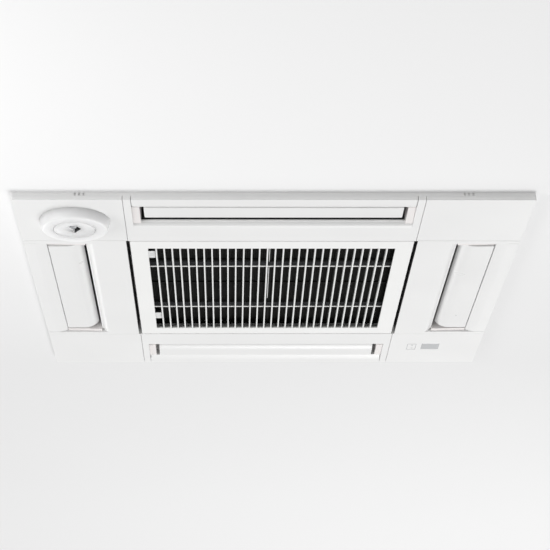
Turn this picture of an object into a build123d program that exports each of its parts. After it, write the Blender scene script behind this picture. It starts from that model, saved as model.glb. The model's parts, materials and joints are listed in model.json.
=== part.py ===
from build123d import *
import os
from math import cos, pi, radians, sin, sqrt

# A four-way ceiling cassette air conditioner: a square panel under the ceiling and a steel case above it.
# Every height below is counted up from the panel's face, which looks down into the room. save() then moves
# each sub-part so that the plane under the four hanger brackets is Z = 0, with X and Y through the centre.
# What repeats on the four sides is drawn for the side at +X and turned.

# ------------------------------------------------------------------ clearances
FIT = 0.05          # radial running fit of a pin in its bore
JOINT = 0.3         # gap between two covers
TRIM_GAP = 0.8      # gap at a side trim's ends
CLEAR = 0.3         # a moving piece above its seat
END_PLAY = 1.0      # a pin's end short of its socket's bottom
CUT = 1.0           # how far a cut runs past what it cuts
CURVE_STEPS = 8     # straight runs in a drawn curve
MIN_R = 1.0         # smallest inner corner

PANEL = 625.0       # side of the square panel, mm
HALF = PANEL / 2

# ------------------------------------------------------------------ intake grille
GRILLE_IN_X = 133.7  # from the panel's edge to the grille
GRILLE_IN_Y = 134.0
GRILLE_X = PANEL - 2 * GRILLE_IN_X
GRILLE_Y = PANEL - 2 * GRILLE_IN_Y
GAP_SIDE = 4.6      # gap beside the grille at the hinge and the latches
GAP_END = 2.0       # gap at its other two edges
GRILLE_T = 2.2
RIM_T = 2.5
RIM_H = 12.0
BORDER_X = 21.8     # plain border round the slotted field
BORDER_Y = 24.0
FIELD_X = GRILLE_X - 2 * BORDER_X
FIELD_Y = GRILLE_Y - 2 * BORDER_Y
OPEN_X = GRILLE_X / 2 + GAP_SIDE
OPEN_Y = GRILLE_Y / 2 + GAP_END
RIBS = 30
RIB_T = 1.8
RIB_H = 6.0
BAR_AT = 78.0       # cross bars behind the ribs, from the middle
BAR_T = 1.5
BAR_TOP = RIB_H + 5.6
HINGE_H = 5.3
HINGE_IN = 1.3      # hinge axis in from the grille's edge
HINGE_X = GRILLE_X / 2 - HINGE_IN
HINGE_PIN_R = 1.25
HINGE_EYE_R = 2.8
HINGE_AT = 110.0    # the two hinges, from the middle
HINGE_W = 8.0
HINGE_NOTCH = 14.0
HINGE_ARM_H = RIM_H + 2.0
HINGE_ARM_T = 4.0
SHANK_T = 3.0

# ------------------------------------------------------------------ latches
LATCH_AT = 118.0
KNOB_X = 9.0
KNOB_Y = 23.5
KNOB_OVER = 1.0     # the knob reaches this far behind the grille's border
LATCH_T = 3.0
LATCH_H = RIB_H + CLEAR
LATCH_KNOB_X = -FIELD_X / 2 - KNOB_OVER
TONGUE_Y = 12.0
TONGUE_OUT = 1.5    # beyond the grille's edge
GUIDE_Y = 20.0
GUIDE_LONG = 14.0
GUIDE_ROOF = 1.6
GUIDE_BACK = 3.0    # from the guide to the slotted field

# ------------------------------------------------------------------ air filter
FILTER_IN_X = 8.8   # from the grille's edge to the filter
FILTER_IN_Y = 10.5
FILTER_X = GRILLE_X - 2 * FILTER_IN_X
FILTER_Y = GRILLE_Y - 2 * FILTER_IN_Y
FILTER_H = 4.0
FILTER_BAR = 6.0
NET_T = 0.5
FILTER_CELLS = 4
WELL_H = BAR_TOP + FILTER_H + 6.4  # height of the frame's wall round the grille

# ------------------------------------------------------------------ panel
PANEL_T = 10.0      # from the panel's face to the ceiling
SPLIT_H = PANEL_T / 2  # covers and trims below this height, the frame above it
WEB_T = 2.5         # the frame's flat web
WEB_H = SPLIT_H + WEB_T
FLANGE_W = 20.5     # band of the frame that meets the ceiling
SKIN = 2.0          # wall of the covers and trims
LINE_IN = 2.4       # the corner covers start this far inside the grille's opening
CORNER_LINE = OPEN_X - LINE_IN
STRIPE_W = 9.5      # stripe of the frame between a corner cover and a side trim
TRIM_LINE = CORNER_LINE - STRIPE_W  # half length of an outlet and its side trim
EDGE_R = 2.0        # rounding of the panel's four corners
NOTCH_AT = CORNER_LINE + 51.0  # pry notches in the flange's side, from the middle of each side
NOTCH_W = 2.2
NOTCH_PITCH = 5.2
NOTCH_D = 2.0
NOTCH_LAND = 0.6    # left of the flange's side below and above a notch
PEG_R = 2.5         # pegs that hold the corner covers
PEG_IN = 32.0       # from the panel's edge
PEG_LOW = 12.0      # from the corner line
PEG_TALL = 3.0      # above the web

# ------------------------------------------------------------------ air outlets, from the panel's edge inwards
RIM_W = 13.5        # flat rim of a side trim
STRIP_W = 15.0      # curved strip beside the outlet
OUTLET_W = 49.0
LEAN = 13.5         # the outer wall leans in by this up to the collar's top
CHAMFER_OUT = HALF - RIM_W
OUTLET_OUT = CHAMFER_OUT - STRIP_W
OUTLET_IN = OUTLET_OUT - OUTLET_W
THROAT_OUT = OUTLET_OUT - LEAN
CHAMFER_H = 3.0     # rise of the curved strip at the outlet
CHAMFER_CURVE = 1.6  # the strip rises with this power of the way in
LIP_R = 10.5        # rounding of the inner wall into the face
COLLAR_T = 2.5
COLLAR_BEND_H = 12.0  # where the outer wall starts to lean in
SEAL_T = 2.0        # foam seal between collar and body
BLOCK_T = 9.5       # a vane's bearing block
BLOCK_AT = TRIM_LINE - BLOCK_T
BLOCK_LOW = 1.5

# ------------------------------------------------------------------ vanes
VANE_GAP = 5.0      # from a vane's end to its bearing block
VANE_HALF = BLOCK_AT - VANE_GAP
VANE_T = 3.0
VANE_R = 22.7       # radius of the curled part, about the pivot
VANE_LOW = 1.8      # lowest face when shut
VANE_BEND = OUTLET_OUT - 26.0  # where the flat part meets the curled part, and the pivot's distance out
VANE_TIP = OUTLET_OUT - 1.0
VANE_CURL = 55.0    # degrees of the curled part
VANE_PIN_R = 3.0
VANE_ARM_T = 3.0
VANE_ARM_AT = VANE_HALF - 2 * VANE_ARM_T
VANE_ARM_R = 6.0
PIVOT_H = VANE_LOW + VANE_R
VANE_MOTOR_R = 10.0
VANE_MOTOR_L = 16.0
MOTOR_EAR = 17.0    # half width of the ears of a vane motor
MOTOR_EAR_T = 1.5
SOCKET_D = 6.0      # depth of a motor's socket
COLLAR_H = PIVOT_H + VANE_MOTOR_R - 0.5  # top of the collars, just clear of the body

# ------------------------------------------------------------------ people sensor
SENSOR_X = -(HALF - 70.5)  # middle of the sensor, in from the panel's left and near edges
SENSOR_Y = -(HALF - 66.0)
SENSOR_R = 43.0
SENSOR_LOW_R = SENSOR_R - 3.0
SENSOR_DROP = 12.3  # below the face
SENSOR_ROUND = 3.0
SENSOR_FLANGE = 3.0  # the flange above the cover is wider by this
SENSOR_FLANGE_R = SENSOR_R + SENSOR_FLANGE
SENSOR_FLANGE_T = 2.5
HEAD_R = 25.0
HEAD_GAP = 1.0
HEAD_T = 9.0
HEAD_ROUND = 0.8
HEAD_SHAFT_R = 3.0
POCKET_D = HEAD_T - 2.0
POCKET = [(-14.2, -3.5), (-6.3, -15.5), (3.9, -12.0), (8.4, -4.3), (-1.7, 11.0)]  # its corners
LENS_R = 4.5
LENS_AT = (-1.5, -4.0)  # from the head's middle
LENS_LOW = 1.2      # the lens stands back from the head's face
SENSOR_MOTOR_R = 14.0
SENSOR_MOTOR_H = 17.0

# ------------------------------------------------------------------ signal receiver
WINDOW_X = 26.0
WINDOW_Y = 25.0
WINDOW_AT = (HALF - 71.5, HALF - 74.0)
WINDOW_SINK = 0.3
LAMP_R = 1.6
LAMP_BESIDE = 13.5  # from the window's edge to the lamps
LAMP_X = WINDOW_AT[0] - WINDOW_X / 2 - LAMP_BESIDE
LAMP_YS = (WINDOW_AT[1] + 7.5, WINDOW_AT[1] - 5.5)
LAMP_TOP_H = 3.0    # where the board's light guides meet the lamps
BOARD_X = 60.0
BOARD_Y = 40.0
BOARD_T = 1.6
BOARD_LIP = 4.0     # the board's bearing on the web, all round
EYE_SIZE = 8.0      # the receiver on the board

# ------------------------------------------------------------------ body above the ceiling
CASE_IN = 27.5      # from the panel's edge to the case
CASE = PANEL - 2 * CASE_IN
CORNER_CUT = 80.0   # cut off each corner of the case, along both sides
CASE_DIAG = CASE - CORNER_CUT  # x + y on the cut corners
CASE_HALF = CASE / 2
CASE_H = 235.0
CASE_T = 1.0
LINER_T = 14.0
CASE_LOW = COLLAR_H + SEAL_T
CASE_TOP_H = CASE_LOW + CASE_H
CEILING_H = CASE_TOP_H - CASE_T - LINER_T  # underside of the liner's top
PAD_R = 120.0       # raised round pad pressed into the top
PAD_H = 3.0
HANGER_H = 132.0    # underside of the hanger brackets
FACE_Z = -HANGER_H
HANGER_OUT = 35.0   # x + y from a cut corner to its slot's middle
HANGER_PITCH = CASE_DIAG + HANGER_OUT
HANGER_SLOT = 24.0
HANGER_SLOT_W = 12.0
HANGER_T = 2.5
HANGER_W = 60.0
HANGER_DROP = 40.0
HANGER_REACH = 45.0
CASE_SCREW_R = 4.0  # heads of the sheet screws
CASE_SCREW_T = 2.0
CASE_SCREW_AT = (-150.0, 0.0, 150.0)
CASE_SCREW_DOWN = 10.0  # below the top
BRACKET_SCREW_AT = 18.0
INSIDE = CASE / 3   # cuts through a side of the case reach in to here
SIDES = {"right": 0, "far": 90, "left": 180, "near": 270}

# ------------------------------------------------------------------ drain pan
PAN_T = 45.0
PAN_GAP = 0.3       # pan inside the case
DUCT_IN = OUTLET_IN + 1.0
DUCT_OUT = THROAT_OUT - 0.5
DUCT_HALF = TRIM_LINE - 3.5
TROUGH_WALL = 6.0   # foam between a duct and the trough
TROUGH_W = 46.0
TROUGH_D = 19.0
PAN_TOP_H = CASE_LOW + PAN_T
TROUGH_OUT = DUCT_IN - TROUGH_WALL
TROUGH_IN = TROUGH_OUT - TROUGH_W
TROUGH_FLOOR_H = PAN_TOP_H - TROUGH_D
PAN_INNER_H = PAN_TOP_H - 5.0
SCREW_AT = CORNER_LINE + 24.0  # panel screws
SCREW_R = 2.5
SCREW_HEAD_R = 5.0
SCREW_HEAD_T = 2.4
SCREW_END_H = CASE_LOW + 14.0
BOSS_R = 7.0
CABLE_H = CASE_LOW + 12.0
CABLE_Y = -190.0
CABLE_R = 7.0
BUSH_R = 9.0
BUSH_FLANGE_R = 11.0
BUSH_FLANGE_T = 3.0

# ------------------------------------------------------------------ heat exchanger and pipes
COIL_EDGE = 6.0     # trough outside the coil
COIL_T = 36.0
COIL_OUT = TROUGH_OUT - COIL_EDGE
COIL_IN = COIL_OUT - COIL_T
COIL_CORNER_R = 60.0
FIN_SKIN = 1.5      # the fin pack is mostly air: this skin of its outside gives it its real weight
SERVICE_IN = 20.0   # from the cut corner to the pipes
SERVICE_Y = CASE_DIAG - CASE_HALF - SERVICE_IN  # pipes and drain leave the left side here
COIL_GAP = SERVICE_Y - 35.0  # the far left corner beyond this line is open, for pipes and pump
TUBE_PLATE_T = 2.0
TUBE_PLATE_OVER = 2.0
BEND_R = 12.5
TUBE_R = 3.5
BENDS = 4
BEND_PITCH = 45.0
DRAIN_H = CASE_LOW + 106.0
GAS_R = 6.35
LIQUID_R = 3.175
GAS_H = DRAIN_H + 53.0
LIQUID_H = GAS_H + 33.0
GAS_THREAD_R = 9.525
LIQUID_THREAD_R = 5.556
GAS_HEX = 24.0
LIQUID_HEX = 17.0
HEX_L = 8.0
THREAD_L = 15.0
COVER_X = 1.5
COVER_Y = 36.0
COVER_LOW_H = GAS_H - 21.0
COVER_TOP_H = LIQUID_H + 20.0

# ------------------------------------------------------------------ drain pump and float switch
PUMP_X = -COIL_OUT + 29.0
PUMP_R = 20.0
PUMP_LOW_H = DRAIN_H - 22.0
PUMP_TOP_H = DRAIN_H + 36.0
SUCTION_R = 9.0
SUCTION_WALL = 1.5
SUCTION_LOW_H = TROUGH_FLOOR_H + 4.0
IMPELLER_R = 6.5
IMPELLER_H = 12.0
IMPELLER_UP = 2.0   # above the suction tube's end
IMPELLER_SHAFT_R = 1.5
PUMP_ARM_Y = 14.0
PUMP_ARM_T = 8.0
HOSE_R = 12.0
HOSE_BORE = 9.0
SPIGOT_R = 16.0
SPIGOT_L = 27.0
SPIGOT_FLANGE_R = 19.0
SPIGOT_FLANGE_T = 2.0
FLOAT_X = -COIL_GAP - 20.0
FLOAT_Y = COIL_IN + 24.0
FLOAT_R = 9.0
FLOAT_T = 14.0
FLOAT_LOW_H = TROUGH_FLOOR_H + 2.0
FLOAT_STEM_R = 3.0
FLOAT_STEM_TOP_H = TROUGH_FLOOR_H + 48.0

# ------------------------------------------------------------------ control box
BOX_W = 36.0
BOX_OUT = TROUGH_IN - 10.0
BOX_IN = BOX_OUT - BOX_W  # side towards the fan, from the centre
BOX_HALF = 120.0
BOX_LOW_H = WELL_H + 2.0
BOX_TOP_H = PAN_INNER_H - 10.0
BOX_T = 1.0
PCB_T = 1.6
PCB_UP = 8.0
POCKET_CLEAR = 1.0
PCB_PARTS = (18.0, 12.0, 20.0)  # heights of the tallest parts on the board
TERMINAL_T = 16.0
TERMINAL_IN = 12.0  # from the box's end to the terminals
TERMINAL_L = 42.0
TERMINAL_POLES = 5
POLE_WALL = 1.3     # from a chamber to the edge of its pole
POLE_BACK = 11.0    # from the seat to a chamber

# ------------------------------------------------------------------ bellmouth and fan
MOUTH_T = 2.5
MOUTH_R = BOX_IN - MOUTH_T - 0.5  # bellmouth at its foot
FLARE = 23.0        # the throat is narrower than the foot by this
THROAT_R = MOUTH_R - FLARE
MOUTH_TOP_H = PAN_TOP_H + 11.0
MOUTH_FLANGE_R = MOUTH_R + 25.0
MOUTH_CURVE = 2.5   # the funnel narrows with this power of the way up
EYE_R = THROAT_R + 6.0
EYE_H = MOUTH_TOP_H - 6.0
FAN_R = EYE_R + 47.0
SHROUD_RISE = 28.0  # from the eye to the rim
SHROUD_CURVE = 0.45
FAN_T = 2.5
BACK_H = EYE_H + 124.0
CUP_R = 62.0
CUP_H = BACK_H - 42.0
NOSE_R = 20.0
NOSE_H = CUP_H - 18.0
BLADES = 7
BLADE_IN = 88.0
BLADE_OUT = FAN_R - 3.0
BLADE_SWEEP = 38.0
BLADE_BOW = 9.0
BLADE_T = 4.0
NUT_R = 7.0
NUT_T = 6.0
SHAFT_R = 4.0
SHAFT_LOW_H = NOSE_H - 2 * NUT_T
SHAFT_UP = 10.0     # shaft inside the motor
MOTOR_R = CUP_R - FAN_T - 7.5
MOTOR_LOW_H = CUP_H + 2 * FAN_T
MOTOR_TOP_H = CASE_TOP_H - 31.0
MOTOR_PLATE = 112.0
MOTOR_PLATE_T = 3.0
MOUNT_AT = 46.0
MOUNT_R = 9.0
LINER_HOLE_R = 88.0

# ------------------------------------------------------------------ helpers
def block(x0, x1, y0, y1, z0, z1):
    """A box between two opposite corners."""
    return Pos((x0 + x1) / 2, (y0 + y1) / 2, (z0 + z1) / 2) * Box(x1 - x0, y1 - y0, z1 - z0)


def pad(half_x, half_y, z0, z1):
    """A box centred on the vertical axis."""
    return block(-half_x, half_x, -half_y, half_y, z0, z1)


def post(r, x, y, z0, z1):
    """An upright cylinder."""
    return Pos(x, y, (z0 + z1) / 2) * Cylinder(r, z1 - z0)


def rod_y(r, x, z, y0, y1):
    """A cylinder along Y."""
    return Pos(x, (y0 + y1) / 2, z) * Rot(X=90) * Cylinder(r, y1 - y0)


def rod_x(r, y, z, x0, x1):
    """A cylinder along X."""
    return Pos((x0 + x1) / 2, y, z) * Rot(Y=90) * Cylinder(r, x1 - x0)


def left_hole(r, y, z):
    """A round cut through the left side of the case and its liner."""
    return rod_x(r, y, z, -CASE, -INSIDE)


def side_bar(points, y0, y1):
    """A closed outline of (distance out, height) points, run along the side at +X."""
    return along_side(make_face(Polyline(*points, close=True)), y0, y1)


def along_side(section, y0, y1):
    """A section drawn as (distance out, height), run along Y from y0 to y1."""
    return extrude(Plane.XZ.offset(-y0) * section, y0 - y1)


def turned(shape, side):
    """A shape drawn for the side at +X, turned to another side."""
    return Rot(Z=SIDES[side]) * shape


def octagon(half, diag):
    """A square with cut corners, where x + y is at most diag."""
    near = diag - half
    corners = [(half, near), (near, half), (-near, half), (-half, near)]
    corners += [(-x, -y) for x, y in corners]
    return make_face(Polyline(*corners, close=True))


def inner_octagon(inset):
    """The case's outline, moved in by inset on every side."""
    return octagon(CASE_HALF - inset, CASE_DIAG - inset * sqrt(2))


def prism(sketch, z0, z1):
    """A flat sketch raised from z0 to z1."""
    return extrude(Pos(0, 0, z0) * sketch, z1 - z0)


def save(node, *shapes):
    """Write one sub-part, moved from heights above the face to the part's own frame."""
    solids = [Pos(0, 0, FACE_Z) * solid for shape in shapes for solid in shape.solids()]
    export_step(Compound(children=solids) if len(solids) > 1 else solids[0], f"parts/{node}.step")


# ------------------------------------------------------------------ panel frame
def collar():
    """One outlet's four walls, with the rounded lip that leads into the face."""
    lip = [
        (OUTLET_IN - LIP_R + LIP_R * sin(radians(a)), LIP_R - LIP_R * cos(radians(a)))
        for a in range(0, 91, 10)
    ]
    inner = lip + [
        (OUTLET_IN, COLLAR_H),
        (OUTLET_IN - COLLAR_T, COLLAR_H),
        (OUTLET_IN - COLLAR_T, WEB_H),
        (OUTLET_IN - LIP_R, WEB_H),
    ]
    outer = [
        (OUTLET_OUT, SPLIT_H),
        (OUTLET_OUT + COLLAR_T, SPLIT_H),
        (OUTLET_OUT + COLLAR_T, COLLAR_BEND_H),
        (THROAT_OUT + COLLAR_T, COLLAR_H),
        (THROAT_OUT, COLLAR_H),
        (OUTLET_OUT, COLLAR_BEND_H),
    ]
    end = [
        (OUTLET_IN - COLLAR_T, SPLIT_H),
        (OUTLET_OUT + COLLAR_T, SPLIT_H),
        (OUTLET_OUT + COLLAR_T, COLLAR_BEND_H),
        (THROAT_OUT + COLLAR_T, COLLAR_H),
        (OUTLET_IN - COLLAR_T, COLLAR_H),
    ]
    walls = side_bar(inner, -TRIM_LINE, TRIM_LINE) + side_bar(outer, -TRIM_LINE, TRIM_LINE)
    walls += side_bar(end, TRIM_LINE, TRIM_LINE + COLLAR_T)
    walls += side_bar(end, -TRIM_LINE - COLLAR_T, -TRIM_LINE)
    pin_end = TRIM_LINE + COLLAR_T + CUT
    return walls - rod_y(VANE_PIN_R + 2 * JOINT, VANE_BEND, PIVOT_H, TRIM_LINE - CUT, pin_end)


def hinge_arm(y):
    """An arm from the grille well down to the eye that holds one of the grille's pins."""
    y0, y1 = y - HINGE_W / 2, y + HINGE_W / 2
    beam = block(HINGE_X - SHANK_T / 2, OPEN_X + COLLAR_T / 2, y0, y1, HINGE_ARM_H, HINGE_ARM_H + HINGE_ARM_T)
    shank = block(HINGE_X - SHANK_T / 2, HINGE_X + SHANK_T / 2, y0, y1, HINGE_H, HINGE_ARM_H)
    eye = rod_y(HINGE_EYE_R, HINGE_X, HINGE_H, y0, y1)
    return beam + shank + eye - rod_y(HINGE_PIN_R + FIT, HINGE_X, HINGE_H, y0 - CUT, y1 + CUT)


def peg_places():
    """Where the corner covers' pegs stand, in the corner at +X +Y."""
    far, low = HALF - PEG_IN, CORNER_LINE + PEG_LOW
    return [(far, low), (low, far)]


def panel_frame():
    line = CORNER_LINE - JOINT
    frame = pad(HALF, HALF, SPLIT_H, WEB_H)
    frame += pad(HALF, HALF, SPLIT_H, PANEL_T) - pad(HALF - FLANGE_W, HALF - FLANGE_W, 0, 2 * PANEL_T)
    frame = fillet(frame.edges().filter_by(Axis.Z).group_by(lambda e: abs(e.center().X))[-1], EDGE_R)
    frame += pad(HALF, line, 0, SPLIT_H) + pad(line, HALF, 0, SPLIT_H)
    well = pad(OPEN_X + COLLAR_T, OPEN_Y + COLLAR_T, SPLIT_H, WELL_H)
    for side in SIDES:
        trim_space = block(OUTLET_IN - LIP_R, HALF + CUT, -TRIM_LINE, TRIM_LINE, -CUT, SPLIT_H)
        outlet = block(OUTLET_IN, OUTLET_OUT, -TRIM_LINE, TRIM_LINE, -CUT, 2 * PANEL_T)
        frame -= turned(trim_space + outlet, side)
    frame += well
    frame -= pad(OPEN_X, OPEN_Y, -CUT, WELL_H + CUT)
    for side in SIDES:
        frame += turned(collar(), side)
        for at in (-NOTCH_AT, NOTCH_AT):
            for k in (-1, 0, 1):
                y = at + k * NOTCH_PITCH
                notch = block(HALF - NOTCH_D, HALF + CUT, y - NOTCH_W / 2, y + NOTCH_W / 2,
                              SPLIT_H + NOTCH_LAND, PANEL_T - NOTCH_LAND)
                frame -= turned(notch, side)
        frame += turned(post(BOSS_R, SCREW_AT, SCREW_AT, SPLIT_H, CASE_LOW), side)
        frame -= turned(post(SCREW_R + JOINT, SCREW_AT, SCREW_AT, 0, CASE_LOW + CUT), side)
        for x, y in peg_places():
            frame -= turned(post(PEG_R + FIT, x, y, 0, 2 * PANEL_T), side)
    for y in (-HINGE_AT, HINGE_AT):
        frame += hinge_arm(y)
    frame -= post(2 * HEAD_SHAFT_R, SENSOR_X, SENSOR_Y, 0, 2 * PANEL_T)
    x, y = board_centre()
    frame -= Pos(x, y, WEB_H) * Box(BOARD_X - 2 * BOARD_LIP, BOARD_Y - 2 * BOARD_LIP, 4 * WEB_T)
    return frame


# ------------------------------------------------------------------ covers and trims
def corner_cover():
    """The plain cover of the corner at +X +Y: a shallow tray with two pegs."""
    low = CORNER_LINE + JOINT
    cover = block(low, HALF, low, HALF, 0, SPLIT_H)
    outer = cover.edges().filter_by(Axis.Z).sort_by(lambda e: e.center().X + e.center().Y)[-1]
    cover = fillet(outer, EDGE_R)
    face_edges = cover.faces().sort_by(Axis.Z)[0].edges()
    outer = [e for e in face_edges if e.center().X + e.center().Y > HALF + low + CUT]
    cover = fillet(outer, SKIN / 4)
    cover -= block(low + SKIN, HALF - SKIN, low + SKIN, HALF - SKIN, SKIN, SPLIT_H + CUT)
    for x, y in peg_places():
        cover += post(PEG_R, x, y, SKIN / 2, WEB_H + PEG_TALL)
    return cover


def side_trim():
    """The trim outside one outlet, with the curved strip that guides the air."""
    end = TRIM_LINE - TRIM_GAP
    inner = OUTLET_OUT + JOINT
    strip = CHAMFER_OUT - inner
    ways = [k / CURVE_STEPS for k in range(CURVE_STEPS + 1)]
    curve = [(CHAMFER_OUT - strip * way, CHAMFER_H * way**CHAMFER_CURVE) for way in ways]
    outline = curve + [
        (inner, SPLIT_H),
        (inner + SKIN, SPLIT_H),
        (inner + SKIN, CHAMFER_H + SKIN / 2),
        (CHAMFER_OUT, SKIN),
        (HALF - SKIN, SKIN),
        (HALF - SKIN, SPLIT_H),
        (HALF, SPLIT_H),
        (HALF, SKIN / 4),
        (HALF - SKIN / 4, 0),
    ]
    trim = side_bar(outline, -end, end)
    for y in (-end, end - SKIN):
        trim += block(CHAMFER_OUT, HALF - SKIN / 2, y, y + SKIN, SKIN / 2, SPLIT_H)
    return trim


def bearing_blocks():
    """Both bearing blocks of one vane: they close the outlet's ends and carry the vane's pins."""
    outline = [
        (OUTLET_IN + JOINT, BLOCK_LOW),
        (OUTLET_OUT - JOINT, BLOCK_LOW + SKIN / 2),
        (OUTLET_OUT - JOINT, COLLAR_BEND_H),
        (THROAT_OUT - JOINT, COLLAR_H),
        (OUTLET_IN + JOINT, COLLAR_H),
    ]
    pair = side_bar(outline, BLOCK_AT, TRIM_LINE) + side_bar(outline, -TRIM_LINE, -BLOCK_AT)
    return pair - rod_y(VANE_PIN_R + FIT, VANE_BEND, PIVOT_H, -TRIM_LINE - CUT, TRIM_LINE + CUT)


# ------------------------------------------------------------------ vanes
def vane():
    """One vane, shut: a flat blade that curls up round its pivot, with an arm and a pin at each end."""
    inner_r = VANE_R - VANE_T
    start = -90.0
    end = start - VANE_CURL

    def on_arc(r, angle):
        return VANE_BEND + r * cos(radians(angle)), PIVOT_H + r * sin(radians(angle))

    middle = (start + end) / 2
    tip_mid = (VANE_TIP, VANE_LOW + VANE_T / 2)
    edges = [
        Line((VANE_TIP - VANE_T / 2, VANE_LOW), on_arc(VANE_R, start)),
        ThreePointArc(on_arc(VANE_R, start), on_arc(VANE_R, middle), on_arc(VANE_R, end)),
        ThreePointArc(
            on_arc(VANE_R, end),
            on_arc(VANE_R - VANE_T / 2, end - degrees_for(VANE_T / 2)),
            on_arc(inner_r, end),
        ),
        ThreePointArc(on_arc(inner_r, end), on_arc(inner_r, middle), on_arc(inner_r, start)),
        Line(on_arc(inner_r, start), (VANE_TIP - VANE_T / 2, VANE_LOW + VANE_T)),
        ThreePointArc(
            (VANE_TIP - VANE_T / 2, VANE_LOW + VANE_T), tip_mid, (VANE_TIP - VANE_T / 2, VANE_LOW)
        ),
    ]
    blade = along_side(make_face(Curve() + edges), -VANE_HALF, VANE_HALF)
    arm_low = VANE_LOW + VANE_T / 2
    for sign in (-1, 1):
        y0, y1 = sorted((sign * VANE_ARM_AT, sign * (VANE_ARM_AT + VANE_ARM_T)))
        blade += block(VANE_BEND - VANE_ARM_R, VANE_BEND + VANE_ARM_R, y0, y1, arm_low, PIVOT_H)
        blade += rod_y(VANE_ARM_R, VANE_BEND, PIVOT_H, y0, y1)
    pin_end = TRIM_LINE + COLLAR_T + MOTOR_EAR_T + SOCKET_D - END_PLAY
    blade += rod_y(VANE_PIN_R, VANE_BEND, PIVOT_H, VANE_ARM_AT, pin_end)
    blade += rod_y(VANE_PIN_R, VANE_BEND, PIVOT_H, -TRIM_LINE + END_PLAY, -VANE_ARM_AT)
    return blade


def degrees_for(length):
    """The turn about the pivot that an arc of this length takes at the vane's middle radius."""
    return length / (VANE_R - VANE_T / 2) * 180 / pi


def vane_motor():
    """The stepper motor outside an outlet's end wall, with a socket for the vane's pin."""
    seat = TRIM_LINE + COLLAR_T
    ears = Pos(VANE_BEND, seat + MOTOR_EAR_T / 2, PIVOT_H) * Box(2 * MOTOR_EAR, MOTOR_EAR_T, VANE_MOTOR_R)
    can = rod_y(VANE_MOTOR_R, VANE_BEND, PIVOT_H, seat, seat + VANE_MOTOR_L)
    socket = rod_y(VANE_PIN_R + FIT, VANE_BEND, PIVOT_H, seat - CUT, seat + MOTOR_EAR_T + SOCKET_D)
    return can + ears - socket


# ------------------------------------------------------------------ intake grille, filter, latches
def intake_grille():
    half_x, half_y = GRILLE_X / 2, GRILLE_Y / 2
    plate = pad(half_x, half_y, 0, GRILLE_T) - pad(FIELD_X / 2, FIELD_Y / 2, -CUT, GRILLE_T + CUT)
    rim = pad(half_x, half_y, 0, RIM_H) - pad(half_x - RIM_T, half_y - RIM_T, -CUT, RIM_H + CUT)
    grille = plate + rim
    pitch = FIELD_X / (RIBS + 1)
    over = RIM_T / 2
    for k in range(RIBS):
        x = -FIELD_X / 2 + pitch * (k + 1)
        grille += block(x - RIB_T / 2, x + RIB_T / 2, -FIELD_Y / 2 - over, FIELD_Y / 2 + over, 0, RIB_H)
    for y in (-BAR_AT, BAR_AT):
        y0, y1 = y - BAR_T / 2, y + BAR_T / 2
        grille += block(-half_x + over, half_x - over, y0, y1, RIB_H - BAR_T / 2, BAR_TOP)
    for y in (-HINGE_AT, HINGE_AT):
        n = HINGE_NOTCH / 2
        grille -= block(half_x - RIM_T - CUT, half_x + CUT, y - n, y + n, GRILLE_T, RIM_H + CUT)
        grille += rod_y(HINGE_PIN_R, HINGE_X, HINGE_H, y - n - over, y + n + over)
    for y in (-LATCH_AT, LATCH_AT):
        t = TONGUE_Y / 2 + CLEAR
        grille -= block(-half_x - CUT, -half_x + RIM_T + CUT, y - t, y + t, RIB_H, LATCH_H + LATCH_T + CLEAR)
    return grille


def latch(y):
    """A sliding latch: a knob in the first slot and a tongue that leaves through the grille's rim."""
    tip = -GRILLE_X / 2 - TONGUE_OUT
    top = LATCH_H + LATCH_T
    knob = block(LATCH_KNOB_X, LATCH_KNOB_X + KNOB_X, y - KNOB_Y / 2, y + KNOB_Y / 2, LATCH_H, top)
    knob = fillet(knob.edges().filter_by(Axis.Z), KNOB_X / 6)
    tongue = block(tip, LATCH_KNOB_X + KNOB_X / 2, y - TONGUE_Y / 2, y + TONGUE_Y / 2, LATCH_H, top)
    return knob + tongue


def latch_guide(y):
    """The tunnel on the grille's border that a latch slides in."""
    x1 = -FIELD_X / 2 - GUIDE_BACK
    slot = TONGUE_Y / 2 + CLEAR
    roof = LATCH_H + LATCH_T + CLEAR
    guide = block(x1 - GUIDE_LONG, x1, y - GUIDE_Y / 2, y + GUIDE_Y / 2, GRILLE_T, roof + GUIDE_ROOF)
    return guide - block(x1 - GUIDE_LONG - CUT, x1 + CUT, y - slot, y + slot, LATCH_H - CLEAR, roof)


def air_filter():
    """A framed net that lies on the grille's cross bars."""
    low, high = BAR_TOP, BAR_TOP + FILTER_H
    half_x, half_y = FILTER_X / 2, FILTER_Y / 2
    inner_x, inner_y = half_x - FILTER_BAR, half_y - FILTER_BAR
    frame = pad(half_x, half_y, low, high) - pad(inner_x, inner_y, low - CUT, high + CUT)
    for k in range(1, FILTER_CELLS):
        x = -half_x + k * FILTER_X / FILTER_CELLS
        y = -half_y + k * FILTER_Y / FILTER_CELLS
        frame += block(x - BAR_T, x + BAR_T, -inner_y - BAR_T, inner_y + BAR_T, low, high)
        frame += block(-inner_x - BAR_T, inner_x + BAR_T, y - BAR_T, y + BAR_T, low, high)
    middle = (low + high) / 2
    return frame + pad(inner_x + BAR_T, inner_y + BAR_T, middle - NET_T / 2, middle + NET_T / 2)


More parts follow.
